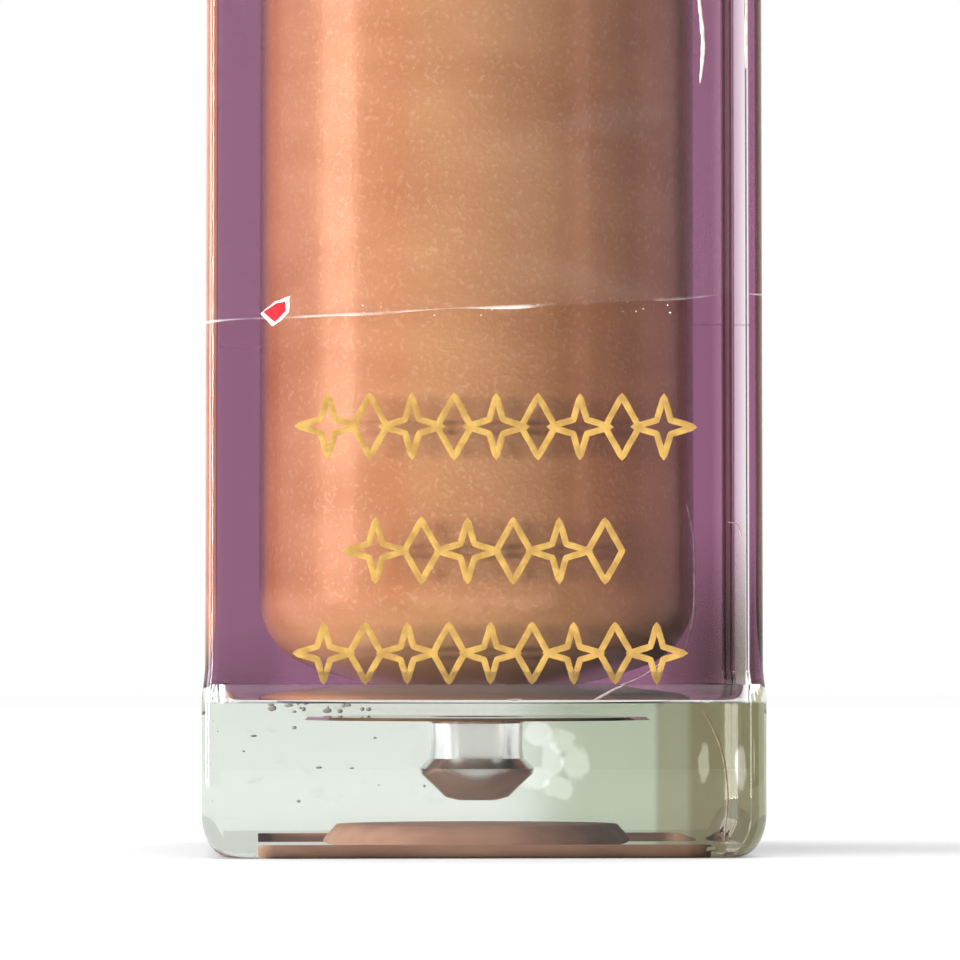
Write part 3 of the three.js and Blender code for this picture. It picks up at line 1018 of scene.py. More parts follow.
@dataclass
class Jacket:
    """The clear outer jacket, bonded to the vial, with its thick base and its recess."""

    foot_radius: float = 0.55 * MM
    foot_side: float = 0.95 * MM
    foot_rise: float = 1.45 * MM
    foot_steps: int = 24
    flare: float = 0.1 * MM
    flare_height: float = 1.0 * MM
    rim_radius: float = 0.12 * MM
    recess_radius: float = 4.85 * MM
    recess_slope: float = 0.5 * MM
    recess_depth: float = 0.9 * MM
    hollow_depth: float = 10 * MM

    def sizes(self) -> tuple[float, float]:
        """Half the jacket's width above its flare, and its height."""
        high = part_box("outer_jacket")[1]
        return high.x - self.flare, high.z

    def foot_rings(self, depth: float, top: float, end: float) -> list[Ring]:
        """Rings of the rounded bottom edge, which is rounder at the two sides than in front.

        Args:
            depth: How far they lie inside the plastic.
            top: The height that they stop at.
            end: How far short of the full width they stop.

        Returns:
            The rings, from the bottom up.
        """
        wide = self.sizes()[0] + self.flare
        rings = []
        for step in range(self.foot_steps + 1):
            lean = math.pi / 2 * (step / self.foot_steps - 1)
            z = self.foot_rise + (self.foot_rise - depth) * math.sin(lean)
            if z > top + 0.001 * MM:
                break
            across = wide - self.foot_side + (self.foot_side - depth) * math.cos(lean)
            low = min(max(self.foot_radius - z, 0.0) / (self.foot_radius - depth), 1.0)
            along = wide - self.foot_radius + (self.foot_radius - depth) * math.sqrt(1 - low * low)
            ring = square_ring(along, EDGE_RADIUS, z)
            limit = min(across, wide - end)
            rings.append([Vector((point.x * limit / along, point.y, point.z)) for point in ring])
        return rings

    def build(self, foot: VialFoot, vial: "Vial") -> None:
        """Builds the jacket's outside, its hollow top, and the air space left under the vial.

        Args:
            foot: The vial's underside.
            vial: The vial.
        """
        half, top = self.sizes()
        wide = half + self.flare
        recess = [
            (self.recess_radius - self.recess_slope / 2 - 0.3 * MM, self.recess_depth),
            (self.recess_radius - self.recess_slope / 2, self.recess_depth - 0.03 * MM),
            (self.recess_radius, self.recess_depth * 0.7),
            (self.recess_radius + self.recess_slope * 0.7, 0.1 * MM),
            (self.recess_radius + self.recess_slope, 0.0),
        ]
        rings = circle_rings(recess)
        rings += self.foot_rings(0.0, self.foot_rise, 0.0)
        rings += square_rings([(wide, foot.bottom), (half, foot.bottom + self.flare_height)], EDGE_RADIUS)
        lip = self.rim_radius
        rings += square_rings(arc((half - lip, top - lip), lip, 0, 90, 4), EDGE_RADIUS)
        bore, chamfer = vial.bore(), 0.1 * MM
        rings += circle_rings([(bore + chamfer, top), (bore, top - chamfer), (bore, top - self.hollow_depth)])
        shell = Skin("jacket_shell", rings).mesh()
        for pocket in self.air(foot, vial):
            shell.join(pocket.mesh())
        piece = shell.object(ClearPlastic().build())
        place(piece, Body.BOTTLE, ["outer_jacket"], clear=True)

    def air(self, foot: VialFoot, vial: "Vial") -> tuple[Skin, Skin]:
        """The thin air spaces under the vial: one round its stub and boss, one along its square foot.

        Args:
            foot: The vial's underside.
            vial: The vial.

        Returns:
            Their skins, which face into the air.
        """
        half, edge, round_off = vial.half(), vial.edge_radius, vial.foot_radius
        middle = foot.rings()[:-1] + foot.pocket()[1:]
        inner = foot.boss_radius + foot.boss_slope
        rim = [circle_ring(inner, foot.bottom)]
        rim += square_rings(arc((half - round_off, foot.bottom + round_off), round_off, -90, 0, 6), edge)
        outer = half + foot.gap * 0.5
        rim += square_rings([(outer, foot.bottom + round_off), (outer, foot.bottom - foot.seat)], edge)
        rim.append(circle_ring(inner, foot.bottom - foot.seat))
        return Skin("stub_air", middle), Skin("foot_air", rim, looped=True)


@dataclass
class Vial:
    """The tinted square vial with its round bore, on its untinted foot."""

    edge_radius: float = 0.3 * MM
    foot_radius: float = 0.5 * MM
    bore_bottom: float = 5.15 * MM
    wall: float = 1.2 * MM
    bond: float = 0.02 * MM
    dome_radius: float = 16 * MM
    knuckle_radius: float = 2.4 * MM

    def half(self) -> float:
        """Half the vial's width."""
        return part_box("inner_vial")[1].x

    def bore(self) -> float:
        """The bore's radius."""
        return self.half() - self.wall

    def bore_profile(self, grow: float) -> Profile:
        """The round bottom of the bore: a shallow dome, then a knuckle up to the straight wall.

        Args:
            grow: How far it is moved out from the true bore.

        Returns:
            Its (radius, height) points, from near the axis outwards.
        """
        radius, bottom = self.bore() + grow, self.bore_bottom - grow
        reach = self.dome_radius - self.knuckle_radius
        lean = math.asin((radius - self.knuckle_radius) / reach)
        knuckle_height = bottom + self.dome_radius - reach * math.cos(lean)
        degrees = math.degrees(lean)
        dome = arc((0, bottom + self.dome_radius), self.dome_radius, -89.5, degrees - 90, 14)
        bend_centre = (radius - self.knuckle_radius, knuckle_height)
        bend = arc(bend_centre, self.knuckle_radius, degrees - 90, 0, 12)
        return dome + bend[1:]

    def build(self, foot: VialFoot) -> None:
        """Builds the vial's tinted walls and its untinted foot.

        Args:
            foot: The vial's underside.
        """
        bond, half, top = self.bond, self.half(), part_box("inner_vial")[1].z
        rings = foot.rings(bond)
        rings.append(circle_ring(foot.boss_radius + foot.boss_slope - 2 * bond, foot.bottom + 0.5 * bond))
        piece = Skin("vial_foot", rings).object(VialFloorPlastic().build())
        place(piece, Body.BOTTLE, clear=True)

        low, round_off = foot.bottom + bond, self.foot_radius
        rings = [circle_ring(1.0 * MM, low)]
        bend = arc((half - bond - round_off, low + round_off), round_off, -90, 0, 6)
        rings += square_rings(bend, self.edge_radius)
        rings.append(square_ring(half - bond, self.edge_radius, top - bond))
        rings.append(circle_ring(self.bore() + bond / 2, top - bond))
        rings += circle_rings(self.bore_profile(bond / 2)[::-1])
        walls = Skin("vial_walls", rings).object(TintedPlastic().build())
        place(walls, Body.BOTTLE, ["inner_vial"], clear=True)


@dataclass
class Gloss:
    """The gloss, which wets the bore and creeps a little up its wall and round the stem."""

    wetting: float = 0.025 * MM
    meniscus: float = 0.9 * MM
    wall_creep: float = 0.8 * MM
    stem_creep: float = 1.4 * MM
    surface_steps: int = 10

    def build(self, vial: Vial) -> None:
        """Builds the gloss.

        Args:
            vial: The vial that holds it.
        """
        radius = vial.bore() + self.wetting
        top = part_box("gloss_fill")[1].z
        profile = vial.bore_profile(self.wetting)
        profile.append((radius, top - 1 * MM))
        profile.append((radius, top - 0.05 * MM))
        for i in range(self.surface_steps + 1):
            inward = radius * (1 - i / self.surface_steps)
            by_wall = math.exp(-(radius - inward) / self.wall_creep)
            by_stem = 0.6 * math.exp(-inward / self.stem_creep)
            profile.append((max(inward, 0.1 * MM), top - self.meniscus * (1 - min(by_wall + by_stem, 1.0))))
        body = Skin("gloss_body", circle_rings(profile), smooth_below=50).object(PearlGloss().build())
        place(body, Body.BOTTLE, ["gloss_fill"])


@dataclass
class Wrap:
    """The clear film round the jacket, with a scrap of red tear strip left at its lower edge."""

    ring_points: int = 2 * RING_POINTS
    levels: int = 60
    cad_thickness: float = 0.08 * MM
    thickness: float = 0.05 * MM
    lower_edge: float = 17.45 * MM
    slant: float = 0.053
    wrinkle_height: float = 0.03 * MM
    wrinkle_width: float = 3.5 * MM
    wave_height: float = 0.12 * MM
    wave_width: float = 2.2 * MM
    scrap_size: float = 0.95 * MM
    scrap_at: tuple[float, float] = (-6.7 * MM, 17.35 * MM)

    def wrinkle(self, point: Vector) -> float:
        """How far the film stands off at a point, in metres.

        Args:
            point: The point on the smooth film.

        Returns:
            The distance, never inwards.
        """
        broad = noise.noise(Vector((point.x, point.y, point.z * 0.4)) / self.wrinkle_width)
        return max(0.0, broad) * self.wrinkle_height

    def ring(self, half: float, radius: float, share: float, top: float) -> Ring:
        """One level of the film.

        Args:
            half: Half its width.
            radius: Its corners' radius.
            share: How far up it is, from 0 to 1.
            top: The film's upper edge.

        Returns:
            The level's points.
        """
        ring = square_ring(half, radius, 0.0, self.ring_points)
        for point in ring:
            wave = self.wave_height * noise.noise(Vector((point.x, point.y, 7 * MM)) / self.wave_width)
            low = self.lower_edge + self.slant * point.x + wave
            point.z = low + (top - low) * share
            outward = Vector((point.x, point.y, 0)).normalized()
            point += outward * self.wrinkle(point)
        return ring

    def build(self) -> None:
        """Builds the film and its scrap."""
        _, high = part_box("clear_film")
        inner = high.x - self.cad_thickness
        outer = inner + self.thickness
        radius = EDGE_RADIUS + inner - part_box("collar")[1].x
        shares = [(i / self.levels) ** 1.4 for i in range(self.levels + 1)]
        rings = [self.ring(outer, radius + self.thickness, s, high.z) for s in shares]
        rings += [self.ring(inner, radius, s, high.z) for s in reversed(shares)]
        film = Skin("film_wrap", rings, looped=True, smooth_below=60).object(ClearFilm().build())
        place(film, Body.BOTTLE, ["clear_film"], clear=True)
        self.scrap(-outer)

    def scrap(self, face: float) -> None:
        """Builds the red scrap and the torn white paper under it.

        Args:
            face: The film's front face, as a y.
        """
        shapes = {
            "scrap_paper": (
                [(-0.5, -0.1), (-0.1, -0.5), (0.1, -0.42), (0.46, -0.05), (0.5, 0.5), (0.0, 0.3)],
                0.0,
            ),
            "scrap_red": (
                [(-0.4, -0.04), (0.0, -0.38), (0.36, -0.02), (0.34, 0.32), (0.02, 0.24)],
                0.02 * MM,
            ),
        }
        finishes = {
            "scrap_paper": PlainInk("scrap_paper", (0.9, 0.86, 0.84), (0.75, 0.7, 0.68), 0.7),
            "scrap_red": PlainInk("scrap_red", (0.72, 0.02, 0.03), (0.5, 0.01, 0.02), 0.35),
        }
        for name, (corners, stand) in shapes.items():
            rings = []
            for grow, depth in ((0.9, 0.0), (1.0, 0.008), (0.96, 0.02), (0.9, 0.024)):
                y = face - stand - depth * MM
                ring = []
                for (ax, az), (bx, bz) in zip(corners, corners[1:] + corners[:1]):
                    for step in range(6):
                        t = step / 6
                        px, pz = ax + (bx - ax) * t, az + (bz - az) * t
                        jag = 1 + 0.08 * noise.noise(Vector((px * 5, pz * 5, stand * 1e4)))
                        reach = grow * jag * self.scrap_size
                        ring.append(Vector((self.scrap_at[0] + px * reach, y, self.scrap_at[1] + pz * reach)))
                rings.append(ring)
            piece = Skin(name, rings, smooth_below=50).object(finishes[name].build())
            place(piece, Body.BOTTLE)


class Motif(Enum):
    """The two motifs that take turns along a row of the ornament."""

    LOZENGE = "lozenge"
    STAR = "star"


@dataclass
class OrnamentRow:
    """One printed row of alternating lozenges and four-pointed stars in gold outline."""

    name: str
    centre_x: float
    centre_z: float
    width: float
    height: float
    count: int
    stroke: float = 0.2 * MM
    flatness: float = 0.1
    unevenness: float = 0.05 * MM

    def outline(self, kit: NodeKit, motif: Motif, height: bpy.types.NodeSocket) -> bpy.types.NodeSocket:
        """Adds the curve of one motif.

        Args:
            kit: The tree.
            motif: Which motif.
            height: The motif's height socket.

        Returns:
            The curve's socket.
        """
        half = kit.node("ShaderNodeMath", {"operation": "MULTIPLY"}, {0: height, 1: 0.5})
        if motif is Motif.LOZENGE:
            corners = {"Resolution": 4, "Radius": half.outputs[0]}
            shape = kit.node("GeometryNodeCurvePrimitiveCircle", None, corners)
            slim = kit.node("GeometryNodeTransform", None, {0: shape.outputs[0], "Scale": (0.56, 1.0, 1.0)})
            return slim.outputs[0]
        inner = kit.node("ShaderNodeMath", {"operation": "MULTIPLY"}, {0: height, 1: 0.16})
        values = {"Points": 4, "Inner Radius": inner.outputs[0], "Outer Radius": half.outputs[0]}
        star = kit.node("GeometryNodeCurveStar", None, values)
        return star.outputs[0]

    def build(self, face: float, material: bpy.types.Material) -> bpy.types.Object:
        """Builds the row.

        Args:
            face: The printed face, as a y.
            material: The ink.

        Returns:
            The row's object.
        """
        kit = NodeKit(self.name)
        height = kit.input("Motif Height", self.height - self.stroke)
        stroke = kit.input("Half Stroke", self.stroke / 2)
        count = kit.input("Motifs", self.count, "Int")
        pitch = (self.width - 0.56 * self.height) / (self.count - 1)
        step = kit.input("Step", (pitch, 0.0, 0.0), "Vector")
        first = self.centre_x - pitch * (self.count - 1) / 2
        start = kit.input("First Place", (first, face, self.centre_z), "Vector")
        uneven = kit.input("Unevenness", self.unevenness)
        profile = kit.node("GeometryNodeCurvePrimitiveCircle", None, {"Resolution": 8, "Radius": stroke})
        motifs = []
        for motif in Motif:
            outline = self.outline(kit, motif, height)
            fine = kit.node("GeometryNodeResampleCurve", None, {0: outline, "Count": 72})
            swept = kit.node("GeometryNodeCurveToMesh", None, {0: fine.outputs[0], 1: profile.outputs[0]})
            flat = kit.node(
                "GeometryNodeTransform", None, {0: swept.outputs[0], "Scale": (1.0, 1.0, self.flatness)}
            )
            motifs.append(kit.node("GeometryNodeGeometryToInstance", None, {0: flat.outputs[0]}).outputs[0])
        pair = kit.node("GeometryNodeJoinGeometry", None, {0: motifs})
        places = {"Count": count, "Start Location": start, "Offset": step}
        line = kit.node("GeometryNodeMeshLine", {"mode": "OFFSET"}, places)
        index = kit.node("GeometryNodeInputIndex")
        turn = kit.node("ShaderNodeMath", {"operation": "MODULO"}, {0: index.outputs[0], 1: 2.0})
        copies = kit.node(
            "GeometryNodeInstanceOnPoints",
            None,
            {
                "Points": line.outputs[0],
                "Instance": pair.outputs[0],
                "Pick Instance": True,
                "Instance Index": turn.outputs[0],
                "Rotation": (math.pi / 2, 0.0, 0.0),
            },
        )
        solid = kit.node("GeometryNodeRealizeInstances", None, {0: copies.outputs[0]})
        cloud = kit.node("ShaderNodeTexNoise", None, {"Scale": 1 / (0.5 * MM), "Detail": 3.0})
        centred = kit.node(
            "ShaderNodeVectorMath", {"operation": "SUBTRACT"}, {0: cloud.outputs["Color"], 1: (0.5, 0.5, 0.5)}
        )
        in_face = kit.node(
            "ShaderNodeVectorMath", {"operation": "MULTIPLY"}, {0: centred.outputs[0], 1: (1.0, 0.0, 1.0)}
        )
        shift = kit.node(
            "ShaderNodeVectorMath", {"operation": "SCALE"}, {0: in_face.outputs[0], "Scale": uneven}
        )
        moved = kit.node("GeometryNodeSetPosition", None, {0: solid.outputs[0], "Offset": shift.outputs[0]})
        mesh = kit.mesh(self.name, moved.outputs[0], material)
        return finish_mesh(self.name, mesh, material, 50)


@dataclass
class Print:
    """The front's gold ornament: three rows of generic motifs."""

    def build(self, front: float) -> None:
        """Builds the rows.

        Args:
            front: The printed face, as a y.
        """
        ink = GoldInk().build()
        rows = [
            OrnamentRow("ornament_top", 0.33 * MM, 13.7 * MM, 11.9 * MM, 2.15 * MM, 9),
            OrnamentRow("ornament_middle", 0.15 * MM, 9.75 * MM, 8.5 * MM, 2.15 * MM, 6),
            OrnamentRow("ornament_bottom", 0.15 * MM, 6.5 * MM, 11.7 * MM, 2.0 * MM, 9),
        ]
        for row in rows:
            place(row.build(front, ink), Body.BOTTLE)


@dataclass
class Sticker:
    """The copper-brown sticker that lines the underside and its recess, bonded to the plastic.

    It rides a little up the foot in front and behind, and stops short of the two sides.
    """

    bond: float = 0.025 * MM
    thickness: float = 0.05 * MM
    wrap_height: float = 0.48 * MM
    end_gap: float = 1.8 * MM

    def build(self, jacket: Jacket) -> None:
        """Builds the sticker.

        Args:
            jacket: The jacket that it is stuck to.
        """
        ceiling = jacket.recess_radius - jacket.recess_slope / 2
        mouth = jacket.recess_radius + jacket.recess_slope
        rings = []
        for grow in (self.bond - self.thickness, self.bond):
            level = self.bond if grow == self.bond else 0.004 * MM
            outline = [
                (ceiling - 1 * MM, jacket.recess_depth + grow),
                (ceiling + grow, jacket.recess_depth + grow),
                (jacket.recess_radius + grow, jacket.recess_depth * 0.7 + grow),
                (mouth + grow, level),
            ]
            side = circle_rings(outline) + jacket.foot_rings(level, self.wrap_height, self.end_gap)
            rings += side if not rings else reversed(side)
        piece = Skin("base_sticker", rings, smooth_below=50).object(CopperSticker().build())
        place(piece, Body.BOTTLE, ["base_label"])


@dataclass
class Scatter:
    """Small flecks scattered over an upright flat patch, made by Geometry Nodes."""

    name: str
    centre: Triple
    size: tuple[float, float]
    number: int
    radius: float
    seed: int

    def build(self, material: bpy.types.Material) -> bpy.types.Object:
        """Builds the flecks.

        Args:
            material: Their material.

        Returns:
            The flecks' object.
        """
        kit = NodeKit(self.name)
        per_area = self.number / (self.size[0] * self.size[1])
        density = kit.input("Flecks per Square Metre", per_area)
        seed = kit.input("Seed", self.seed, "Int")
        radius = kit.input("Radius", self.radius)
        patch = kit.node("GeometryNodeMeshGrid", None, {"Size X": self.size[0], "Size Y": self.size[1]})
        upright = {0: patch.outputs[0], "Translation": self.centre, "Rotation": (math.pi / 2, 0.0, 0.0)}
        placed = kit.node("GeometryNodeTransform", None, upright)
        spread = {0: placed.outputs[0], "Density": density, "Seed": seed}
        points = kit.node("GeometryNodeDistributePointsOnFaces", None, spread)
        fleck = kit.node("GeometryNodeMeshIcoSphere", None, {"Radius": radius, "Subdivisions": 2})
        scale = kit.node(
            "FunctionNodeRandomValue", {"data_type": "FLOAT_VECTOR"},
            {0: (0.3, 0.3, 0.3), 1: (1.5, 1.2, 1.0), "Seed": self.seed},
        )
        copies = kit.node(
            "GeometryNodeInstanceOnPoints",
            None,
            {"Points": points.outputs[0], "Instance": fleck.outputs[0], "Scale": scale.outputs[0]},
        )
        mesh = kit.mesh(self.name, copies.outputs[0], material)
        return finish_mesh(self.name, mesh, material, 80)


@dataclass
class CapCover:
    """The square outer cap, plated in satin gold, with a fine groove near its mouth."""

    wall: float = 1.1 * MM
    top: float = 1.6 * MM
    crown_radius: float = 0.6 * MM
    groove_height: float = 1.6 * MM
    groove_depth: float = 0.12 * MM
    groove_width: float = 0.1 * MM
    lip: float = 0.15 * MM

    def build(self) -> None:
        """Builds the cap."""
        low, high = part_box("cap_shell")
        half, lip, crown = high.x, self.lip, self.crown_radius
        inner = half - self.wall
        inner_radius = EDGE_RADIUS - self.wall / 2
        rings = [circle_ring(2 * MM, high.z - self.top)]
        rings += square_rings(arc((inner - lip, high.z - self.top - lip), lip, 90, 0, 3), inner_radius)
        rings += square_rings(arc((inner + lip, low.z + lip), lip, 180, 270, 4), inner_radius)
        rings += square_rings(arc((half - lip, low.z + lip), lip, -90, 0, 4), EDGE_RADIUS)
        for depth, shift in ((0, -1.0), (1, -0.4), (1, 0.4), (0, 1.0)):
            z = low.z + self.groove_height + shift * self.groove_width
            rings.append(square_ring(half - depth * self.groove_depth, EDGE_RADIUS, z))
        rings += square_rings(arc((half - crown, high.z - crown), crown, 0, 90, 8), EDGE_RADIUS)
        rings.append(circle_ring(2 * MM, high.z))
        cover = Skin("cap_cover", rings).object(PlatedGold("satin_gold", 0.36, brushed=True).build())
        place(cover, Body.CAP, ["cap_shell"])


@dataclass
class Collar:
    """The polished square collar between the bottle and the cap."""

    bevel: float = 0.18 * MM
    pocket_wall: float = 0.4 * MM
    pocket_height: float = 1.1 * MM
    hole_radius: float = 6.38 * MM

    def build(self) -> None:
        """Builds the collar."""
        low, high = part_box("collar")
        half, bevel = high.x, self.bevel
        rings = []
        rings += square_rings(arc((half - bevel, low.z + bevel), bevel, -90, 0, 4), EDGE_RADIUS)
        rings += square_rings(arc((half - bevel, high.z - bevel), bevel, 0, 90, 4), EDGE_RADIUS)
        rings += circle_rings(arc((self.hole_radius + bevel, high.z - bevel), bevel, 90, 180, 4))
        ceiling = low.z + self.pocket_height
        pocket, corner = half - self.pocket_wall, EDGE_RADIUS * 0.7
        rings.append(circle_ring(self.hole_radius, ceiling))
        rings += square_rings([(pocket, ceiling), (pocket, low.z)], corner)
        ring = Skin("collar_ring", rings, looped=True).object(PlatedGold("polished_gold", 0.12).build())
        place(ring, Body.BOTTLE, ["collar"])


@dataclass
class Applicator:
    """The stem and its flocked tip."""

    fibres: int = 3200
    fibre_length: float = 0.22 * MM
    fibre_radius: float = 0.025 * MM
    flocked_radius: float = 1.8 * MM
    flocked_length: float = 12 * MM

    def build(self) -> None:
        """Builds the stem, the tip's core and its flock."""
        rod = smoothed_copy("stem", "stem_rod", FrostedPlastic("stem_plastic", roughness=0.3).build())
        place(rod, Body.CAP, ["stem"])
        flock = Flock().build()
        core = smoothed_copy("applicator_tip", "tip_core", flock)
        place(core, Body.CAP, ["applicator_tip"])
        place(self.flock(core, flock), Body.CAP)

    def flock(self, core: bpy.types.Object, material: bpy.types.Material) -> bpy.types.Object:
        """Plants short fibres over the tip's core, below its peg.

        Args:
            core: The core.
            material: The fibres' material.

        Returns:
            The fibres' object.
        """
        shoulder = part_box("stem")[0].z - 0.15 * MM
        kit = NodeKit("tip_flock")
        surface = kit.input("Geometry", None, "Geometry")
        limit = kit.input("Shoulder Height", shoulder)
        area = 2 * math.pi * self.flocked_radius * self.flocked_length
        density = kit.input("Fibres per Square Metre", self.fibres / area)
        length = kit.input("Fibre Length", self.fibre_length)
        radius = kit.input("Fibre Radius", self.fibre_radius)
        seed = kit.input("Seed", 11, "Int")
        place_of = kit.node("GeometryNodeInputPosition")
        height = kit.node("ShaderNodeSeparateXYZ", None, {0: place_of.outputs[0]})
        below = kit.node("ShaderNodeMath", {"operation": "LESS_THAN"}, {0: height.outputs[2], 1: limit})
        points = kit.node(
            "GeometryNodeDistributePointsOnFaces",
            None,
            {0: surface, "Selection": below.outputs[0], "Density": density, "Seed": seed},
        )
        fibre = kit.node(
            "GeometryNodeMeshCone",
            None,
            {"Vertices": 4, "Radius Bottom": radius, "Radius Top": 0.006 * MM, "Depth": length},
        )
        lean = kit.node(
            "FunctionNodeRandomValue", {"data_type": "FLOAT_VECTOR"},
            {0: (-0.35, -0.35, 0.0), 1: (0.35, 0.35, 3.0), "Seed": 5},
        )
        turned = kit.node(
            "FunctionNodeRotateEuler", {"space": "LOCAL"},
            {0: points.outputs["Rotation"], "Rotate By": lean.outputs[0]},
        )
        copies = kit.node(
            "GeometryNodeInstanceOnPoints",
            None,
            {"Points": points.outputs[0], "Instance": fibre.outputs[0], "Rotation": turned.outputs[0]},
        )
        mesh = kit.mesh("tip_flock", copies.outputs[0], material, core.data.copy())
        return finish_mesh("tip_flock", mesh, material, 80)


def dress_hidden_parts() -> None:
    """Gives the neck, the wiper, the inner cap and the parts inside the cap their finishes."""
    frosted = FrostedPlastic().build()
    soft = FrostedPlastic("soft_plastic", (0.88, 0.87, 0.83), (0.8, 0.78, 0.73), 0.5, 0.2).build()
    copies = [
        ("threaded_neck", "neck_thread", frosted, Body.BOTTLE, "frosted_plastic"),
        ("wiper", "wiper_plug", soft, Body.BOTTLE, "soft_plastic"),
        ("seal_washer", "washer_ring", soft, Body.WASHER, "soft_plastic"),
        ("inner_cap", "cap_insert", frosted, Body.CAP, "frosted_plastic"),
        ("cap_weight", "weight_ring", TurnedSteel().build(), Body.WEIGHT, "steel"),
    ]
    for node, name, material, body, slot in copies:
        place(smoothed_copy(node, name, material), body, [node])


@dataclass(frozen=True)
class GlintLine:
    """A thin whitish painted highlight line, swept through points given in millimetres."""

    points: tuple[Triple, ...]
    thickness: float
    steps: int = 8
    sides: int = 8

    def path(self) -> list[Vector]:
        """A smooth path through the points."""
        ends = [Vector(p) * MM for p in (self.points[0], *self.points, self.points[-1])]
        path = []
        for before, start, end, after in zip(ends, ends[1:], ends[2:], ends[3:]):
            for step in range(self.steps):
                t = step / self.steps
                bend = (end - before) * (t * (1 - t) ** 2 / 2) - (after - start) * (t * t * (1 - t) / 2)
                path.append(start.lerp(end, t * t * (3 - 2 * t)) + bend)
        return [*path, ends[-1]]

    def shape(self, name: str) -> Shape:
        """Sweeps a tapering round section along the path.

        Args:
            name: The shape's name.

        Returns:
            The shape.
        """
        path = self.path()
        depth = Vector((0, 1, 0))
        rings = []
        for i, point in enumerate(path):
            along = path[min(i + 1, len(path) - 1)] - path[max(i - 1, 0)]
            side = along.cross(depth).normalized()
            uneven = 0.75 + 0.5 * noise.noise(point / (0.4 * MM))
            reach = self.thickness * MM * uneven * math.sin(math.pi * (i + 0.6) / (len(path) + 0.2)) ** 0.5
            turns = [2 * math.pi * k / self.sides for k in range(self.sides)]
            rings.append([point + reach * (math.cos(a) * side + math.sin(a) * depth) for a in turns])
        return Skin(name, rings, smooth_below=80).mesh()


@dataclass
class Traces:
    """The small marks: painted highlight lines in the vial, painted glints on the foot and the film, and the
    marks of use and making, dust and flecks.
    """

    # painted highlights along the bore's edges and by the stub
    vial_highlight_lines: tuple[GlintLine, ...] = (
        GlintLine(
            ((6.8, -2.5, 11.4), (7.02, -2.5, 10.3), (7.05, -2.5, 8.6), (6.97, -2.5, 7.5), (6.7, -2.5, 6.6)),
            0.05,
        ),
        GlintLine(
            ((1.1, -7.6, 5.06), (2.6, -7.6, 5.12), (3.9, -7.6, 5.35), (5.0, -7.6, 5.75), (5.9, -7.6, 6.4)),
            0.03,
        ),
        GlintLine(((7.8, -7.9, 10.7), (8.1, -7.9, 10.6), (8.22, -7.9, 10.2)), 0.03),
        GlintLine(((0.75, -7.9, 5.04), (1.2, -7.9, 5.06)), 0.08),
    )
    base_lines: tuple[GlintLine, ...] = (
        GlintLine(((6.95, -8.4, 4.7), (7.5, -8.4, 3.5), (7.72, -8.4, 2.1), (7.6, -8.4, 0.5)), 0.045),
        GlintLine(((6.9, -8.7, 0.32), (7.35, -8.7, 0.34)), 0.11),
        GlintLine(((-5.3, -8.72, 0.42), (-4.95, -8.72, 0.36)), 0.07),
    )
    film_lines: tuple[GlintLine, ...] = (
        GlintLine(((6.8, -8.98, 27.6), (6.95, -8.98, 26.0), (6.85, -8.98, 24.7)), 0.09),
        GlintLine(((8.35, -8.9, 27.6), (8.33, -8.9, 25.2)), 0.05),
    )

    def build(self, jacket: Jacket, foot: VialFoot) -> None:
        """Builds them all.

        Args:
            jacket: The jacket.
            foot: The vial's underside.
        """
        half, _ = jacket.sizes()
        # a whitish colour for the painted highlights and glints, and for the film's flecks
        air = PlainInk("painted_glints_and_flecks", (0.92, 0.84, 0.74), (0.6, 0.45, 0.36), 0.3).build()
        groups = {
            "vial_painted_highlights": self.vial_highlight_lines,
            "base_glints": self.base_lines,
            "film_glints": self.film_lines,
        }
        for name, lines in groups.items():
            shape, *others = [line.shape(name) for line in lines]
            for other in others:
                shape.join(other)
            place(shape.object(air), Body.BOTTLE)
        dust = PlainInk("dust", (0.5, 0.5, 0.44), (0.33, 0.33, 0.28), 0.8).build()
        back = half + jacket.flare - 0.05 * MM
        base_at = (-4.6 * MM, back, 2.9 * MM)
        specks = Scatter("base_dust", base_at, (7 * MM, 3.8 * MM), 12, 0.08 * MM, 4)
        place(specks.build(dust), Body.BOTTLE)
        rim_at = (-5.2 * MM, back, foot.bottom - 0.35 * MM)
        rim = Scatter("vial_dust", rim_at, (3.4 * MM, 0.4 * MM), 16, 0.12 * MM, 9)
        place(rim.build(dust), Body.BOTTLE)
        film_at = (1 * MM, -half - 0.03 * MM, 17.45 * MM)
        flecks = Scatter("film_flecks", film_at, (10 * MM, 0.5 * MM), 14, 0.03 * MM, 8)
        place(flecks.build(air), Body.BOTTLE)


# ----------------------------------------------------------------------- stage


@dataclass(frozen=True)
class Lamp:
    """A soft rectangular lamp that faces the tube.

    Its turn is its place round the tube, in degrees from the front towards +X, and its rise is its
    elevation, in degrees.
    """

    name: str
    turn: float
    rise: float
    away: float
    size: tuple[float, float]
    watts: float
    mirrored: bool = True
    aim_height: float = 25 * MM

    def build(self) -> None:
        """Builds the lamp, which only shiny surfaces show, and those only if it is mirrored."""
        lamp = bpy.data.lights.new(self.name, "AREA")
        lamp.shape = "RECTANGLE"
        lamp.size, lamp.size_y = self.size
        lamp.energy = self.watts
        holder = bpy.data.objects.new(self.name, lamp)
        a, e = math.radians(self.turn), math.radians(self.rise)
        direction = Vector((math.sin(a) * math.cos(e), -math.cos(a) * math.cos(e), math.sin(e)))
        holder.location = Vector((0, 0, self.aim_height)) + direction * self.away
        holder.rotation_mode = "QUATERNION"
        holder.rotation_quaternion = direction.to_track_quat("Z", "Y")
        holder.visible_camera = False
        holder.visible_transmission = False
        holder.visible_glossy = self.mirrored
        bpy.context.scene.collection.objects.link(holder)


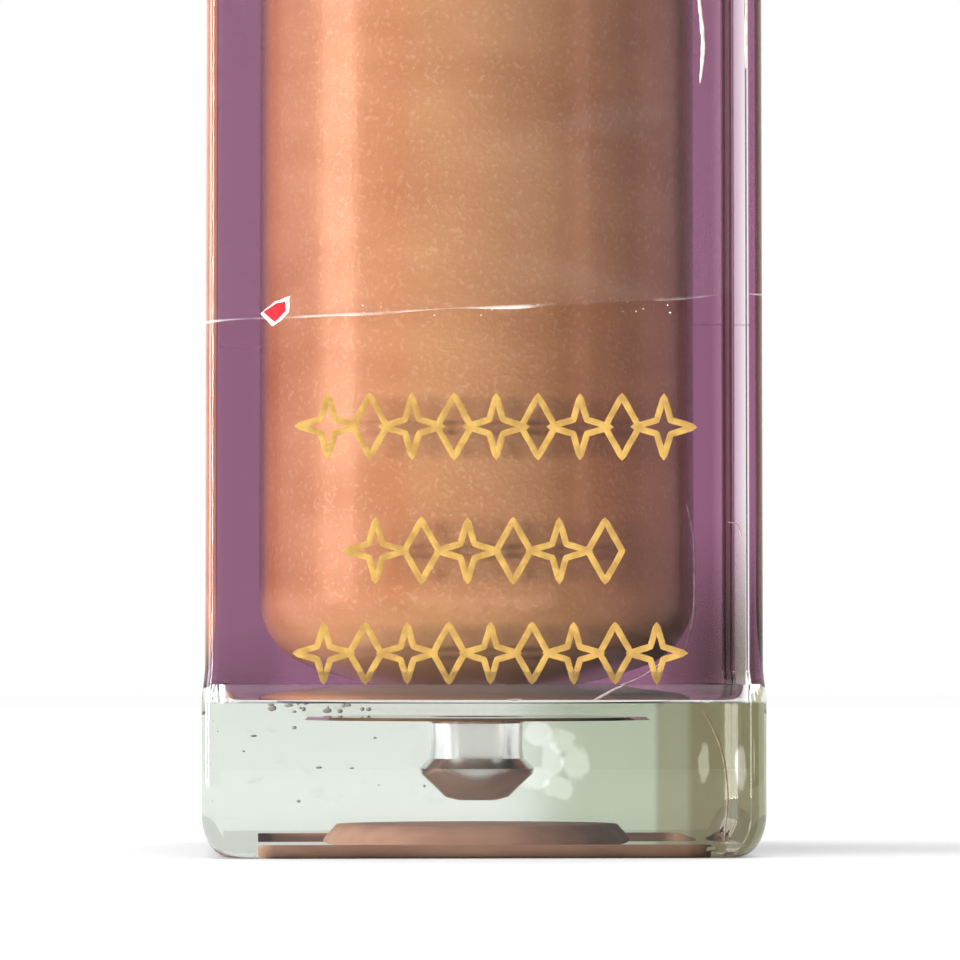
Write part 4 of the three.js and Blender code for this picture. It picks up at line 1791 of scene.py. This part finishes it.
@dataclass
class Studio:
    """The pale floor, the soft lights and the camera."""

    floor_radius: float = 3.0
    camera_turn: float = -2.7
    camera_distance: float = 0.155
    camera_height: float = 5.4 * MM
    sensor_width_mm: float = 36.0
    aim: Triple = (0.25 * MM, 0.0, 12.4 * MM)
    view_width: float = 30.45 * MM
    front_light: float = 0.52
    side_fall: float = 0.2
    back_light: float = 1.0
    ceiling_light: float = 1.25
    lamps: tuple[Lamp, ...] = (
        Lamp("key", -100, 13, 0.45, (0.13, 0.5), 1.6),
        Lamp("glint", -80, 10, 0.45, (0.03, 0.5), 2.1),
        Lamp("front_low", -30, -2.6, 0.4, (0.3, 0.012), 1.8, mirrored=False),
    )

    def floor(self) -> None:
        """Makes the round pale floor."""
        count = 96
        rings = [circle_ring(r, 0.0, count) for r in (0.02, 0.2, self.floor_radius)]
        rings += [circle_ring(self.floor_radius, -0.01, count), circle_ring(0.02, -0.01, count)]
        piece = Skin("studio_floor", list(reversed(rings))).object(StudioPaper().build())

    def lights(self) -> None:
        """Sets the room's soft light and the lamps."""
        book = ShaderBook("studio_room", world=True)
        direction = book.node("ShaderNodeTexCoord").outputs["Generated"]
        x, y, z = (Wire(book, o) for o in book.node("ShaderNodeSeparateXYZ", None, {0: direction}).outputs)
        front = self.front_light - self.side_fall * x
        room = front + (self.back_light - front) * y.ramp(-0.1, 0.3)
        room = room + (self.ceiling_light - room) * z.ramp(0.3, 0.7)
        paint = book.node("ShaderNodeBackground", None, {"Color": (1, 1, 1), "Strength": room})
        book.tree.links.new(paint.outputs[0], book.output.inputs["Surface"])
        bpy.context.scene.world = book.block
        for lamp in self.lamps:
            lamp.build()

    def camera(self) -> None:
        """Sets the camera low in front of the tube, a little to its left."""
        data = bpy.data.cameras.new("camera")
        data.sensor_width = self.sensor_width_mm
        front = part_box("outer_jacket")[0].y
        a = math.radians(self.camera_turn)
        place_at = Vector((math.sin(a), -math.cos(a), 0)) * self.camera_distance
        place_at.z = self.camera_height
        data.lens = data.sensor_width * (self.camera_distance + front) / self.view_width
        data.clip_start, data.clip_end = 0.01, 10.0
        holder = bpy.data.objects.new("camera", data)
        holder.location = place_at
        holder.rotation_mode = "QUATERNION"
        holder.rotation_quaternion = (Vector(self.aim) - place_at).to_track_quat("-Z", "Y")
        bpy.context.scene.collection.objects.link(holder)
        bpy.context.scene.camera = holder

    def build(self) -> None:
        """Sets up the stage."""
        self.floor()
        self.lights()
        self.camera()
        scene = bpy.context.scene
        scene.view_settings.view_transform = "Standard"
        scene.cycles.use_denoising = True
        scene.cycles.max_bounces = 16
        scene.cycles.transmission_bounces = 16
        scene.cycles.glossy_bounces = 8
        scene.cycles.diffuse_bounces = 2
        scene.cycles.transparent_max_bounces = 8
        scene.cycles.caustics_reflective = False
        scene.cycles.caustics_refractive = False


def main() -> None:
    """Builds the tube around its frame, then the stage."""
    logging.basicConfig(level=logging.INFO, format="%(message)s")
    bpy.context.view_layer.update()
    jacket, foot, vial = Jacket(), VialFoot(), Vial()
    jacket.build(foot, vial)
    vial.build(foot)
    Gloss().build(vial)
    Wrap().build()
    Print().build(-jacket.sizes()[0])
    Sticker().build(jacket)
    CapCover().build()
    Collar().build()
    Applicator().build()
    dress_hidden_parts()
    Traces().build(jacket, foot)
    Studio().build()


if __name__ == "__main__":
    main()
